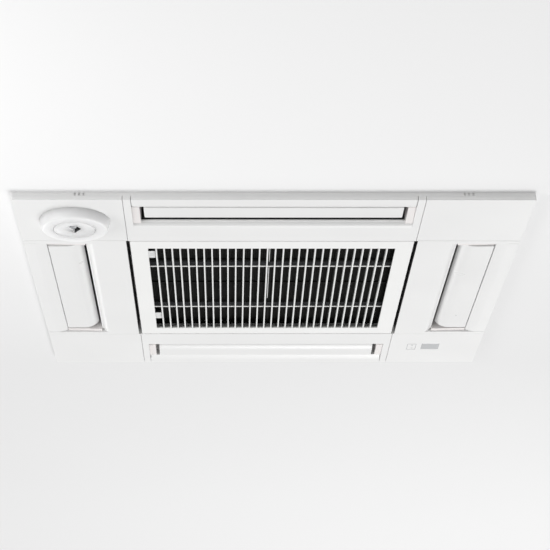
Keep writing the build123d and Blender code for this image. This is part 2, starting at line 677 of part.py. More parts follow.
# ------------------------------------------------------------------ people sensor
def sensor_ring():
    """The fixed round housing that stands out of its corner cover."""
    bore, low = HEAD_R + HEAD_GAP, -SENSOR_DROP
    section = make_face(Polyline(
        (bore, low), (SENSOR_LOW_R, low), (SENSOR_R, 0), (SENSOR_R, SKIN), (SENSOR_FLANGE_R, SKIN),
        (SENSOR_FLANGE_R, SKIN + SENSOR_FLANGE_T), (bore, SKIN + SENSOR_FLANGE_T), close=True,
    ))
    section = fillet(section.vertices().group_by(Axis.Y)[0].sort_by(Axis.X)[-1], SENSOR_ROUND)
    ring = revolve(Plane.XZ * section, Axis.Z)
    return Pos(SENSOR_X, SENSOR_Y, 0) * ring


def sensor_head():
    """The turning disc with its lens pocket, and the shaft that carries it."""
    low = -SENSOR_DROP
    disc = post(HEAD_R, 0, 0, low, low + HEAD_T)
    disc = fillet(disc.edges().filter_by(GeomType.CIRCLE).sort_by(Axis.Z)[0], HEAD_ROUND)
    xs = [x for x, _ in POCKET]
    slope = [(min(xs), low - CUT), (min(xs), low), (max(xs), low + POCKET_D), (max(xs), low - CUT)]
    outline = make_face(Polyline(*POCKET, close=True))
    disc -= side_bar(slope, -HEAD_R, HEAD_R) & prism(outline, low - CUT, low + HEAD_T)
    disc += post(HEAD_SHAFT_R, 0, 0, low + (POCKET_D + HEAD_T) / 2, WEB_H + SOCKET_D)
    return Pos(SENSOR_X, SENSOR_Y, 0) * (disc - lens_body())


def lens_body():
    """The lens: a short cylinder that stands in the pocket."""
    return post(LENS_R, *LENS_AT, -SENSOR_DROP + LENS_LOW, -SENSOR_DROP + POCKET_D)


def sensor_lens():
    return Pos(SENSOR_X, SENSOR_Y, 0) * lens_body()


def sensor_motor():
    can = post(SENSOR_MOTOR_R, SENSOR_X, SENSOR_Y, WEB_H, WEB_H + SENSOR_MOTOR_H)
    return can - post(HEAD_SHAFT_R + FIT, SENSOR_X, SENSOR_Y, 0, WEB_H + SOCKET_D + END_PLAY)


# ------------------------------------------------------------------ signal receiver
def board_centre():
    """Middle of the signal board, behind the window and the lamps."""
    return (WINDOW_AT[0] + LAMP_X) / 2, WINDOW_AT[1]


def window_block(z0, z1):
    x, y = WINDOW_AT
    return block(x - WINDOW_X / 2, x + WINDOW_X / 2, y - WINDOW_Y / 2, y + WINDOW_Y / 2, z0, z1)


def signal_board():
    x, y = board_centre()
    board = Pos(x, y, WEB_H + BOARD_T / 2) * Box(BOARD_X, BOARD_Y, BOARD_T)
    seat, half = WEB_H + BOARD_T / 2, EYE_SIZE / 2
    x, y = WINDOW_AT
    board += block(x - half, x + half, y - half, y + half, SKIN + CLEAR, seat)
    for lamp_y in LAMP_YS:
        board += post(LAMP_R, LAMP_X, lamp_y, LAMP_TOP_H, seat)
    return board


def indicator_lamps():
    return [post(LAMP_R, LAMP_X, y, 0, LAMP_TOP_H) for y in LAMP_YS]


# ------------------------------------------------------------------ case
def case_top():
    """The top sheet with its raised round pad."""
    low = CASE_TOP_H - CASE_T
    sheet = prism(inner_octagon(0), low, CASE_TOP_H)
    sheet += post(PAD_R, 0, 0, low, CASE_TOP_H + PAD_H)
    sheet = fillet(sheet.edges().filter_by(GeomType.CIRCLE).sort_by(Axis.Z)[-1], CASE_T)
    return sheet - post(PAD_R - CASE_T, 0, 0, low - CUT, CASE_TOP_H + PAD_H - CASE_T)


def case_walls():
    """Four flat side sheets and four corner sheets."""
    low, high = CASE_LOW, CASE_TOP_H - CASE_T
    near = CASE_DIAG - CASE_HALF
    ring = prism(inner_octagon(0), low, high) - prism(inner_octagon(CASE_T), low - CUT, high + CUT)
    corner = ring & block(near, CASE, near, CASE, low, high)
    sheets = []
    for side in SIDES:
        sheet = block(CASE_HALF - CASE_T, CASE_HALF, -near, near, low, high)
        sheet = turned(sheet, side)
        if side == "left":
            sheet -= block(-CASE, -INSIDE, SERVICE_Y - GAS_HEX / 2, SERVICE_Y + GAS_HEX / 2,
                           GAS_H - GAS_HEX / 2, LIQUID_H + GAS_HEX / 2)
            sheet -= left_hole(HOSE_R + JOINT, SERVICE_Y, DRAIN_H)
            sheet -= left_hole(BUSH_R + FIT, CABLE_Y, CABLE_H)
        sheets += [sheet, turned(corner, side)]
    return sheets


def hanger_brackets():
    """An angle bracket on each cut corner, slotted for a hanging rod."""
    face = CASE_DIAG / sqrt(2)
    brackets = []
    for quarter in range(4):
        foot = block(face, face + HANGER_T, -HANGER_W / 2, HANGER_W / 2, HANGER_H - HANGER_DROP, HANGER_H)
        tab = block(face, face + HANGER_REACH, -HANGER_W / 2, HANGER_W / 2, HANGER_H, HANGER_H + HANGER_T)
        tips = tab.edges().filter_by(Axis.Z).sort_by(Axis.X)[-2:]
        tab = fillet(tips, HANGER_W / 4)
        bracket = Rot(Z=45 + 90 * quarter) * (foot + tab)
        x = HANGER_PITCH / 2 * (1 if quarter in (0, 3) else -1)
        y = HANGER_PITCH / 2 * (1 if quarter in (0, 1) else -1)
        slot = Pos(x, y) * SlotOverall(HANGER_SLOT, HANGER_SLOT_W)
        brackets.append(bracket - prism(slot, HANGER_H - CUT, HANGER_H + HANGER_T + CUT))
    return brackets


def case_screws():
    """Heads of the screws that hold the top to the side sheets and the brackets to the corners."""
    face = CASE_DIAG / sqrt(2) + HANGER_T
    middle_h = HANGER_H - HANGER_DROP / 2
    heads = []
    for side in SIDES:
        for y in CASE_SCREW_AT:
            head = rod_x(CASE_SCREW_R, y, CASE_TOP_H - CASE_SCREW_DOWN, CASE_HALF, CASE_HALF + CASE_SCREW_T)
            heads.append(turned(head, side))
        for y in (-BRACKET_SCREW_AT, BRACKET_SCREW_AT):
            head = rod_x(CASE_SCREW_R, y, middle_h, face, face + CASE_SCREW_T)
            heads.append(Rot(Z=45) * turned(head, side))
    return heads


def case_liner():
    """Foam slabs inside the case: four sides, four corners and the top."""
    low, high = PAN_TOP_H, CEILING_H
    outer, inner = inner_octagon(CASE_T), inner_octagon(CASE_T + LINER_T)
    near = CASE_DIAG - CASE_HALF
    ring = prism(outer, low, high) - prism(inner, low - CUT, high + CUT)
    corner = ring & block(near, CASE, near, CASE, low, high)
    services = left_hole(HOSE_R + JOINT, SERVICE_Y, DRAIN_H)
    services += left_hole(GAS_R + JOINT, SERVICE_Y, GAS_H)
    services += left_hole(LIQUID_R + JOINT, SERVICE_Y, LIQUID_H)
    slabs = [prism(outer, high, high + LINER_T) - post(LINER_HOLE_R, 0, 0, high - CUT, high + LINER_T + CUT)]
    for side in SIDES:
        slab = turned(ring & block(INSIDE, CASE, -near, near, low, high), side)
        slabs += [slab - services if side == "left" else slab, turned(corner, side)]
    return slabs


# ------------------------------------------------------------------ drain pan, bellmouth
def rounded_ring(outer, corner_r, inner):
    """A square ring in plan, with its inner corners rounded to keep the ring as wide."""
    inner_r = max(corner_r - (outer - inner), MIN_R)
    return RectangleRounded(2 * outer, 2 * outer, corner_r) - RectangleRounded(2 * inner, 2 * inner, inner_r)


def drain_pan():
    """The foam pan under the heat exchanger, with four air ducts and the fan's opening."""
    pan = prism(inner_octagon(CASE_T + PAN_GAP), CASE_LOW, PAN_TOP_H)
    trough_r = COIL_CORNER_R + TROUGH_OUT - COIL_OUT
    open_h = PAN_TOP_H + CUT
    pan -= prism(rounded_ring(TROUGH_OUT, trough_r, TROUGH_IN), TROUGH_FLOOR_H, open_h)
    pan -= prism(RectangleRounded(2 * TROUGH_OUT, 2 * TROUGH_OUT, trough_r), PAN_INNER_H, open_h)
    pan -= post(MOUTH_R + MOUTH_T + POCKET_CLEAR, 0, 0, 0, open_h)
    for side in SIDES:
        pan -= turned(block(DUCT_IN, CASE, -DUCT_HALF, DUCT_HALF, 0, open_h), side)
        pan -= turned(post(SCREW_R + JOINT, SCREW_AT, SCREW_AT, 0, SCREW_END_H + END_PLAY), side)
    box_half = BOX_HALF + POCKET_CLEAR
    pan -= block(-BOX_OUT - POCKET_CLEAR, -BOX_IN + POCKET_CLEAR, -box_half, box_half,
                 0, BOX_TOP_H + POCKET_CLEAR)
    channel_top = CABLE_H + CABLE_R + POCKET_CLEAR
    bush_y, bush_end = BUSH_FLANGE_R + POCKET_CLEAR, -CASE_HALF + CASE_T + BUSH_FLANGE_T + POCKET_CLEAR
    pan -= block(-CASE, bush_end, CABLE_Y - bush_y, CABLE_Y + bush_y, 0, CABLE_H + bush_y)
    pan -= block(-CASE, -BOX_IN, CABLE_Y - BUSH_R, CABLE_Y + BUSH_R, 0, channel_top)
    pan -= block(-BOX_OUT, -BOX_IN, CABLE_Y, -BOX_HALF, 0, channel_top)
    return pan


def duct_wall():
    """The foam strip between an outlet's duct and the case, let into the drain pan."""
    return block(DUCT_OUT, CASE_HALF - CASE_T - PAN_GAP, -DUCT_HALF, DUCT_HALF, CASE_LOW, PAN_TOP_H)


def bellmouth():
    """The funnel from the filter to the fan's eye."""
    rise = MOUTH_TOP_H - CASE_LOW
    ways = [k / CURVE_STEPS for k in range(CURVE_STEPS + 1)]
    spread = MOUTH_R - THROAT_R
    curve = [(THROAT_R + spread * (1 - way) ** MOUTH_CURVE, CASE_LOW + rise * way) for way in ways]
    outside = [(r + MOUTH_T, h) for r, h in reversed(curve)]
    low = CASE_LOW - MOUTH_T
    foot = [(MOUTH_R + MOUTH_T, CASE_LOW), (MOUTH_FLANGE_R, CASE_LOW), (MOUTH_FLANGE_R, low), (MOUTH_R, low)]
    section = make_face(Polyline(*curve, *outside[:-1], *foot, close=True))
    mouth = revolve(Plane.XZ * section, Axis.Z)
    cut_x = BOX_IN - POCKET_CLEAR
    return mouth - block(-CASE, -cut_x, -MOUTH_FLANGE_R, MOUTH_FLANGE_R, 0, CASE_LOW + CUT)


# ------------------------------------------------------------------ fan
def shroud_outline(grow):
    """The shroud's wall from the eye to the rim, as (radius, height) points."""
    ways = [k / CURVE_STEPS for k in range(CURVE_STEPS + 1)]
    return [(EYE_R + (FAN_R - EYE_R) * way, EYE_H + SHROUD_RISE * way**SHROUD_CURVE + grow) for way in ways]


def fan_shroud():
    low, high = shroud_outline(0), shroud_outline(FAN_T)
    return revolve(Plane.XZ * make_face(Polyline(*low, *reversed(high), close=True)), Axis.Z)


def blade():
    """One backward-swept blade, long enough to be trimmed by the shroud."""
    tip = radians(-BLADE_SWEEP)
    start, end = (BLADE_IN, 0.0), (BLADE_OUT * cos(tip), BLADE_OUT * sin(tip))
    mid = ((start[0] + end[0]) / 2, (start[1] + end[1]) / 2)
    long = sqrt((end[0] - start[0]) ** 2 + (end[1] - start[1]) ** 2)
    out = (-(end[1] - start[1]) / long, (end[0] - start[0]) / long)

    def bowed(bow):
        return mid[0] + out[0] * bow, mid[1] + out[1] * bow

    face = make_face(
        Curve() + [
            ThreePointArc(start, bowed(BLADE_BOW), end),
            ThreePointArc(end, bowed(BLADE_BOW - BLADE_T), start),
        ]
    )
    return prism(face, EYE_H, BACK_H + FAN_T / 2)


def fan_wheel():
    """Backplate, motor cup and blades, moulded as one."""
    cup = Polyline(
        (SHAFT_R, NOSE_H), (NOSE_R, NOSE_H), (CUP_R, CUP_H), (CUP_R, BACK_H), (FAN_R, BACK_H),
        (FAN_R, BACK_H + FAN_T), (CUP_R - FAN_T, BACK_H + FAN_T), (CUP_R - FAN_T, CUP_H + FAN_T),
        (NOSE_R, NOSE_H + 3 * FAN_T), (SHAFT_R, NOSE_H + 3 * FAN_T), close=True,
    )
    wheel = revolve(Plane.XZ * make_face(cup), Axis.Z)
    above = shroud_outline(FAN_T)
    low = MOUTH_TOP_H + MOUTH_T
    high = BACK_H + CUT
    room = Polyline(*above, (FAN_R, high), (NOSE_R, high), (NOSE_R, low), (EYE_R, low), close=True)
    room = revolve(Plane.XZ * make_face(room), Axis.Z)
    for k in range(BLADES):
        wheel += (Rot(Z=360 / BLADES * k) * blade()) & room
    return wheel


def fan_shaft():
    """Motor shaft with the nut that holds the wheel."""
    shaft = post(SHAFT_R, 0, 0, SHAFT_LOW_H, MOTOR_LOW_H + SHAFT_UP)
    nut = prism(RegularPolygon(NUT_R, 6), NOSE_H - NUT_T, NOSE_H)
    return shaft + nut


def fan_motor():
    motor = post(MOTOR_R, 0, 0, MOTOR_LOW_H, MOTOR_TOP_H)
    motor = fillet(motor.edges().filter_by(GeomType.CIRCLE).sort_by(Axis.Z)[0], 3 * FAN_T)
    plate = Pos(0, 0, MOTOR_TOP_H - MOTOR_PLATE_T / 2) * Box(MOTOR_PLATE, MOTOR_PLATE, MOTOR_PLATE_T)
    return motor + plate - post(SHAFT_R + FIT, 0, 0, 0, MOTOR_LOW_H + SHAFT_UP + END_PLAY)


def motor_mounts():
    """Four rubber posts between the motor's plate and the raised pad of the top."""
    top = CASE_TOP_H + PAD_H - CASE_T
    return [
        post(MOUNT_R, x, y, MOTOR_TOP_H, top) for x in (-MOUNT_AT, MOUNT_AT) for y in (-MOUNT_AT, MOUNT_AT)
    ]


# ------------------------------------------------------------------ heat exchanger and pipes
def heat_exchanger():
    """The finned coil, bent round the fan and open at the far left corner."""
    def ring(inset):
        plan = rounded_ring(COIL_OUT - inset, COIL_CORNER_R - inset, COIL_IN + inset)
        slab = prism(plan, TROUGH_FLOOR_H + inset, CEILING_H - inset)
        gap = COIL_GAP - inset
        return slab - block(-CASE, -gap, gap, CASE, 0, CASE_TOP_H)

    return ring(0) - ring(FIN_SKIN)


def tube_plates():
    """A steel plate on each end of the coil."""
    low, high = TROUGH_FLOOR_H, CEILING_H
    a, b = COIL_IN - TUBE_PLATE_OVER, COIL_OUT + TUBE_PLATE_OVER
    left = block(-b, -a, COIL_GAP, COIL_GAP + TUBE_PLATE_T, low, high)
    far = block(-COIL_GAP - TUBE_PLATE_T, -COIL_GAP, a, b, low, high)
    return left, far


def return_bends():
    """Half rings of tube that join neighbouring rows on the left tube plate."""
    seat = COIL_GAP + TUBE_PLATE_T
    x = -(COIL_IN + COIL_OUT) / 2 - COIL_T / 4
    bends = []
    for k in range(BENDS):
        ring = Pos(x, seat, TROUGH_FLOOR_H + BEND_PITCH * (k + 0.5)) * Rot(Y=90) * Torus(BEND_R, TUBE_R)
        bends.append(ring & block(x - BEND_R, x + BEND_R, seat, seat + 2 * BEND_R, 0, CASE_TOP_H))
    return bends


def pipe(r, h):
    """A straight copper pipe from the far tube plate out through the left side."""
    return rod_x(r, SERVICE_Y, h, -CASE_HALF - COVER_X, -COIL_GAP - TUBE_PLATE_T)


def flare_union(thread_r, across, h):
    """A hexagon on the pipe's end with a thread for the site pipe's nut."""
    start = -CASE_HALF - COVER_X
    hexagon = Plane(origin=(start, SERVICE_Y, h), z_dir=(-1, 0, 0)) * RegularPolygon(
        across / 2, 6, major_radius=False
    )
    body = extrude(hexagon, HEX_L)
    return body + rod_x(thread_r, SERVICE_Y, h, start - HEX_L - THREAD_L, start - HEX_L)


def piping_cover():
    cover = block(-CASE_HALF - COVER_X, -CASE_HALF, SERVICE_Y - COVER_Y / 2, SERVICE_Y + COVER_Y / 2,
                  COVER_LOW_H, COVER_TOP_H)
    for r, h in ((GAS_R, GAS_H), (LIQUID_R, LIQUID_H)):
        cover -= left_hole(r, SERVICE_Y, h)
    return cover


# ------------------------------------------------------------------ drain
def drain_pump():
    """Pump body with its suction tube and the arm that holds it to the far tube plate."""
    body = post(PUMP_R, PUMP_X, SERVICE_Y, PUMP_LOW_H, PUMP_TOP_H)
    body += post(SUCTION_R, PUMP_X, SERVICE_Y, SUCTION_LOW_H, PUMP_LOW_H + SUCTION_WALL)
    plate = -COIL_GAP - TUBE_PLATE_T
    y0, y1 = COIL_IN, COIL_IN + PUMP_ARM_Y
    body += block(PUMP_X, plate, y0, y1, PUMP_TOP_H - PUMP_ARM_T, PUMP_TOP_H)
    body += rod_x(HOSE_BORE, SERVICE_Y, DRAIN_H, PUMP_X - PUMP_R - HOSE_R, PUMP_X)
    body -= post(SUCTION_R - SUCTION_WALL, PUMP_X, SERVICE_Y, 0, PUMP_LOW_H)
    return body - post(IMPELLER_SHAFT_R + FIT, PUMP_X, SERVICE_Y, 0, PUMP_LOW_H + SOCKET_D)


def pump_impeller():
    low = SUCTION_LOW_H + IMPELLER_UP
    wheel = post(IMPELLER_SHAFT_R, PUMP_X, SERVICE_Y, low, PUMP_LOW_H + SOCKET_D - END_PLAY)
    for turn in (0, 90):
        vane_pair = Box(2 * IMPELLER_R, IMPELLER_SHAFT_R, IMPELLER_H)
        wheel += Pos(PUMP_X, SERVICE_Y, low + IMPELLER_H / 2) * Rot(Z=turn) * vane_pair
    return wheel


def drain_hose():
    """Hose from the pump's outlet to the spigot."""
    x0, x1 = -CASE_HALF, PUMP_X - PUMP_R
    hose = rod_x(HOSE_R, SERVICE_Y, DRAIN_H, x0, x1 - END_PLAY)
    return hose - rod_x(HOSE_BORE, SERVICE_Y, DRAIN_H, -CASE, x1)


def drain_spigot():
    seat = -CASE_HALF
    spigot = rod_x(SPIGOT_FLANGE_R, SERVICE_Y, DRAIN_H, seat - SPIGOT_FLANGE_T, seat)
    spigot += rod_x(SPIGOT_R, SERVICE_Y, DRAIN_H, seat - SPIGOT_L, seat)
    return spigot - rod_x(HOSE_BORE, SERVICE_Y, DRAIN_H, -CASE, 0)


def float_stem():
    """Stem of the float switch, with the arm that holds it to the far tube plate."""
    stem = post(FLOAT_STEM_R, FLOAT_X, FLOAT_Y, TROUGH_FLOOR_H, FLOAT_STEM_TOP_H)
    plate = -COIL_GAP - TUBE_PLATE_T
    arm = block(FLOAT_X, plate, FLOAT_Y - FLOAT_R / 2, FLOAT_Y + FLOAT_R / 2,
                FLOAT_STEM_TOP_H - FLOAT_STEM_R, FLOAT_STEM_TOP_H)
    foot = post(FLOAT_R / 2, FLOAT_X, FLOAT_Y, TROUGH_FLOOR_H, FLOAT_LOW_H - CLEAR)
    return stem + arm + foot


def drain_float():
    ring = post(FLOAT_R, FLOAT_X, FLOAT_Y, FLOAT_LOW_H, FLOAT_LOW_H + FLOAT_T)
    return ring - post(FLOAT_STEM_R + 2 * CLEAR, FLOAT_X, FLOAT_Y, 0, PAN_TOP_H)


# ------------------------------------------------------------------ control box
def control_box():
    """The tray of the control box, open below, set into the pan beside the bellmouth."""
    tray = block(-BOX_OUT, -BOX_IN, -BOX_HALF, BOX_HALF, BOX_LOW_H + BOX_T, BOX_TOP_H + POCKET_CLEAR)
    inside = block(-BOX_OUT + BOX_T, -BOX_IN - BOX_T, -BOX_HALF + BOX_T, BOX_HALF - BOX_T,
                   0, BOX_TOP_H + POCKET_CLEAR - BOX_T)
    entry = block(-BOX_OUT + 2 * BOX_T, -BOX_IN - 2 * BOX_T, -BOX_HALF - CUT, -BOX_HALF + 2 * BOX_T,
                  CABLE_H - CABLE_R, CABLE_H + CABLE_R)
    return tray - inside - entry


def control_box_cover():
    return block(-BOX_OUT, -BOX_IN, -BOX_HALF, BOX_HALF, BOX_LOW_H, BOX_LOW_H + BOX_T)


def control_board():
    """The circuit board on four pillars, with its tallest parts."""
    top = BOX_TOP_H + POCKET_CLEAR - BOX_T
    x0, x1 = -BOX_OUT + 2 * BOX_T, -BOX_IN - 2 * BOX_T
    y0, y1 = -BOX_HALF / 2, BOX_HALF - 2 * BOX_T
    seat = top - PCB_UP
    board = block(x0, x1, y0, y1, seat - PCB_T, seat)
    for x in (x0 + PCB_UP / 2, x1 - PCB_UP / 2):
        for y in (y0 + PCB_UP / 2, y1 - PCB_UP / 2):
            board += post(PCB_T, x, y, seat - PCB_T / 2, top)
    middle = (x0 + x1) / 2
    for k, tall in enumerate(PCB_PARTS):
        y = y0 + (y1 - y0) * (k + 1) / (len(PCB_PARTS) + 1)
        board += post(PCB_UP, middle, y, seat - PCB_T - tall, seat - PCB_T / 2)
    return board


def terminal_block():
    """Screw terminals for the supply and the link to the outdoor unit."""
    top = BOX_TOP_H + POCKET_CLEAR - BOX_T
    x0, x1 = -BOX_OUT + 3 * BOX_T, -BOX_IN - 3 * BOX_T
    y0 = -BOX_HALF + TERMINAL_IN
    strip = block(x0, x1, y0, y0 + TERMINAL_L, top - TERMINAL_T, top)
    pitch = TERMINAL_L / TERMINAL_POLES
    low, high = top - TERMINAL_T, top - POLE_BACK
    for k in range(TERMINAL_POLES):
        y = y0 + pitch * k
        strip -= block(x0 - CUT, x1 + CUT, y + POLE_WALL, y + pitch - POLE_WALL, low - CUT, high)
    return strip


def cable_bush():
    outside, inside = -CASE_HALF, -CASE_HALF + CASE_T
    bush = rod_x(BUSH_R, CABLE_Y, CABLE_H, outside - BUSH_FLANGE_T, inside + BUSH_FLANGE_T)
    bush += rod_x(BUSH_FLANGE_R, CABLE_Y, CABLE_H, outside - BUSH_FLANGE_T, outside)
    bush += rod_x(BUSH_FLANGE_R, CABLE_Y, CABLE_H, inside, inside + BUSH_FLANGE_T)
    return bush - rod_x(CABLE_R, CABLE_Y, CABLE_H, -CASE, 0)


# ------------------------------------------------------------------ small parts of the panel
def outlet_seals():
    """A foam ring on top of each outlet's collar."""
    ring = block(OUTLET_IN - COLLAR_T, THROAT_OUT + COLLAR_T, -TRIM_LINE - COLLAR_T, TRIM_LINE + COLLAR_T,
                 COLLAR_H, CASE_LOW)
    ring -= block(OUTLET_IN, THROAT_OUT, -TRIM_LINE, TRIM_LINE, 0, CASE_LOW + CUT)
    return [turned(ring, side) for side in SIDES]


def panel_screws():
    """The screw in each corner that pulls the panel up to the body."""
    screw = post(SCREW_HEAD_R, SCREW_AT, SCREW_AT, SPLIT_H - SCREW_HEAD_T, SPLIT_H)
    screw += post(SCREW_R, SCREW_AT, SCREW_AT, SPLIT_H, SCREW_END_H)
    return [turned(screw, side) for side in SIDES]


# ------------------------------------------------------------------ write every sub-part
os.makedirs("parts", exist_ok=True)

save("panel_frame", panel_frame())
cover = corner_cover()
receiver_cover = cover - window_block(-CUT, SPLIT_H)
for lamp_y in LAMP_YS:
    receiver_cover -= post(LAMP_R, LAMP_X, lamp_y, -CUT, SPLIT_H)
save("corner_cover_receiver", receiver_cover)
save("corner_cover_far_left", turned(cover, "far"))
sensor_hole = post(SENSOR_R + FIT, SENSOR_X, SENSOR_Y, -CUT, SPLIT_H)
save("corner_cover_sensor", turned(cover, "left") - sensor_hole)
save("corner_cover_near_right", turned(cover, "near"))
for side in SIDES:
    save(f"side_trim_{side}", turned(side_trim(), side))
    save(f"vane_{side}", turned(vane(), side))
save("vane_bearing_blocks", *[turned(bearing_blocks(), side) for side in SIDES])
save("vane_motors", *[turned(vane_motor(), side) for side in SIDES])
save("outlet_seals", *outlet_seals())
save("panel_screws", *panel_screws())

save("intake_grille", intake_grille())
save("air_filter", air_filter())
save("latch_near", latch(-LATCH_AT))
save("latch_far", latch(LATCH_AT))
save("latch_guides", latch_guide(-LATCH_AT), latch_guide(LATCH_AT))

save("sensor_ring", sensor_ring())
save("sensor_head", sensor_head())
save("sensor_lens", sensor_lens())
save("sensor_motor", sensor_motor())
save("receiver_window", window_block(WINDOW_SINK, SKIN))
save("indicator_lamps", *indicator_lamps())
save("signal_board", signal_board())

save("case_top", case_top())
save("case_walls", *case_walls())
save("hanger_brackets", *hanger_brackets())
save("case_screws", *case_screws())
save("case_liner", *case_liner())
save("drain_pan", drain_pan())
save("duct_walls", *[turned(duct_wall(), side) for side in SIDES])
save("bellmouth", bellmouth())

save("fan_wheel", fan_wheel())
save("fan_shroud", fan_shroud())
save("fan_shaft", fan_shaft())
save("fan_motor", fan_motor())
save("motor_mounts", *motor_mounts())

save("heat_exchanger", heat_exchanger())
save("tube_plates", *tube_plates())
save("return_bends", *return_bends())
save("gas_pipe", pipe(GAS_R, GAS_H))
save("liquid_pipe", pipe(LIQUID_R, LIQUID_H))
gas_union = flare_union(GAS_THREAD_R, GAS_HEX, GAS_H)
liquid_union = flare_union(LIQUID_THREAD_R, LIQUID_HEX, LIQUID_H)
save("flare_unions", gas_union, liquid_union)
save("piping_cover", piping_cover())

save("drain_pump", drain_pump())
save("pump_impeller", pump_impeller())
save("drain_hose", drain_hose())
save("drain_spigot", drain_spigot())
save("float_stem", float_stem())
save("drain_float", drain_float())

save("control_box", control_box())
save("control_box_cover", control_box_cover())
save("control_board", control_board())
save("terminal_block", terminal_block())
save("cable_bush", cable_bush())
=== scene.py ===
# %% [markdown]
# # A ceiling cassette air conditioner
# This lesson dresses a measured model of a cassette air conditioner: the flat square panel that shows under
# the ceiling, and the steel case with fan, coil and drain pan that hides above it. The measured model comes in
# as a fixed frame. Pieces that look right as they are only get a material, and pieces whose edges, curves or
# small detail show in the picture are modelled again in the same place.

import json
import math

import bpy
from mathutils import Matrix, Vector


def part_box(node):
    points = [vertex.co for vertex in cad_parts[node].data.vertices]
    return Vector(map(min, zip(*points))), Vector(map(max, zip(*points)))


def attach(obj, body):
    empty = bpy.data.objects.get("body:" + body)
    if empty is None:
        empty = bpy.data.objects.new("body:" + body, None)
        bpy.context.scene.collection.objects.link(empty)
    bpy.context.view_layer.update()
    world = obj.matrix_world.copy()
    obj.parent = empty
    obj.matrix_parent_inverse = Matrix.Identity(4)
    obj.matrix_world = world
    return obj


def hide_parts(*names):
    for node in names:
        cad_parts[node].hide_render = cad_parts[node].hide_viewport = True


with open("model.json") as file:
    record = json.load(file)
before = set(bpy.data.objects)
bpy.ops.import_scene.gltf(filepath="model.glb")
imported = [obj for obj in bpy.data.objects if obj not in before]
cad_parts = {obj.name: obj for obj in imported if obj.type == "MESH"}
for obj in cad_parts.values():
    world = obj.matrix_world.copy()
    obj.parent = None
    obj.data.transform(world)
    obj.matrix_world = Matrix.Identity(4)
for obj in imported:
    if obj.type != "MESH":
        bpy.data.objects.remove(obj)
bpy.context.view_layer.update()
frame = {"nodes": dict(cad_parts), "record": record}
MM = 0.001
FACE = -0.132  # height of the panel's face; the hanger brackets' underside is at zero
CEILING = -0.122

# %% [markdown]
# The camera stands where the photographer stood: low, looking up at the ceiling through a long lens. The
# place and angles were solved from the corners of the square panel. A matrix built from the three directions
# of the view is used because it holds the small roll as well.

# %% Camera
PITCH, YAW, ROLL = (math.radians(a) for a in (20.63, 1.514, -0.544))
CAMERA_AT = Vector((-0.0538, -2.3287, -0.9865))
forward = Vector((math.sin(YAW) * math.cos(PITCH), math.cos(YAW) * math.cos(PITCH), math.sin(PITCH)))
level_right = Vector((math.cos(YAW), -math.sin(YAW), 0))
level_up = level_right.cross(forward)
right = math.cos(ROLL) * level_right + math.sin(ROLL) * level_up
up = -math.sin(ROLL) * level_right + math.cos(ROLL) * level_up
turn = Matrix((right, up, -forward)).transposed().to_4x4()
camera = bpy.data.objects.new("camera", bpy.data.cameras.new("camera"))
camera.data.sensor_width = 36.0
camera.data.lens = 120.6
camera.matrix_world = Matrix.Translation(CAMERA_AT) @ turn
bpy.context.scene.collection.objects.link(camera)
bpy.context.scene.camera = camera
bpy.context.scene.view_settings.view_transform = "Standard"
print("camera at", tuple(round(v, 3) for v in CAMERA_AT))

# %% [markdown]
# Modelling by hand repeats a few steps: pick an object, go into edit mode, apply a modifier, move the scale
# into the mesh. Each has a short helper, so that the cells below only say what is made.


# %% Helpers for picking and editing
def deselect():
    """Nothing selected, object mode."""
    if bpy.context.object and bpy.context.object.mode != "OBJECT":
        bpy.ops.object.mode_set(mode="OBJECT")
    bpy.ops.object.select_all(action="DESELECT")


def pick(obj):
    """Only this object selected and active."""
    deselect()
    obj.select_set(True)
    bpy.context.view_layer.objects.active = obj


def edit(obj, mode="FACE"):
    """Edit mode on this object, with nothing selected."""
    pick(obj)
    bpy.ops.object.mode_set(mode="EDIT")
    bpy.ops.mesh.select_mode(type=mode)
    bpy.ops.mesh.select_all(action="DESELECT")


def select_all():
    """The whole mesh selected, in edit mode."""
    bpy.ops.mesh.select_all(action="SELECT")


def turn_over():
    """All faces of the mesh turned to their other side, in edit mode."""
    select_all()
    bpy.ops.mesh.flip_normals()


def face_outward():
    """All faces of the mesh turned outwards, in edit mode."""
    select_all()
    bpy.ops.mesh.normals_make_consistent(inside=False)


def settle(obj):
    """Object mode, with the object's place, turn and scale moved into its mesh."""
    pick(obj)
    bpy.ops.object.transform_apply(location=True, rotation=True, scale=True)
    return obj


def shade(piece, degrees):
    """Smooth shading, except across edges sharper than this."""
    pick(piece)
    bpy.ops.object.shade_smooth_by_angle(angle=math.radians(degrees))


def modify(piece, kind, **settings):
    """A modifier with these settings, applied at once."""
    pick(piece)
    modifier = piece.modifiers.new(kind.lower(), kind)
    for key, value in settings.items():
        setattr(modifier, key, value)
    bpy.ops.object.modifier_apply(modifier=modifier.name)
    return piece


# %% Helpers for starting a piece and a shader
def plane(name, at, size, rotation=(0, 0, 0)):
    """A flat rectangle about a middle."""
    deselect()
    bpy.ops.mesh.primitive_plane_add(size=1, location=at, rotation=rotation)
    made = bpy.context.object
    made.name = name
    made.scale = (*size, 1)
    return settle(made)


def cylinder(name, vertices, radius, depth, at, axis="Z"):
    """A cylinder about a middle, along one axis."""
    rotation = {"X": (0, math.radians(90), 0), "Y": (math.radians(90), 0, 0), "Z": (0, 0, 0)}[axis]
    deselect()
    bpy.ops.mesh.primitive_cylinder_add(
        vertices=vertices, radius=radius, depth=depth, location=at, rotation=rotation
    )
    made = bpy.context.object
    made.name = name
    return settle(made)


def add(tree, kind, links=(), **values):
    """A node in a tree, with its properties or sockets set by name and its inputs linked."""
    node = tree.nodes.new(kind)
    for key, value in values.items():
        label = key.replace("_", " ")
        if label in node.inputs:
            node.inputs[label].default_value = value
        else:
            setattr(node, key, value)
    for source, target in links:
        tree.links.new(source, node.inputs[target])
    return node


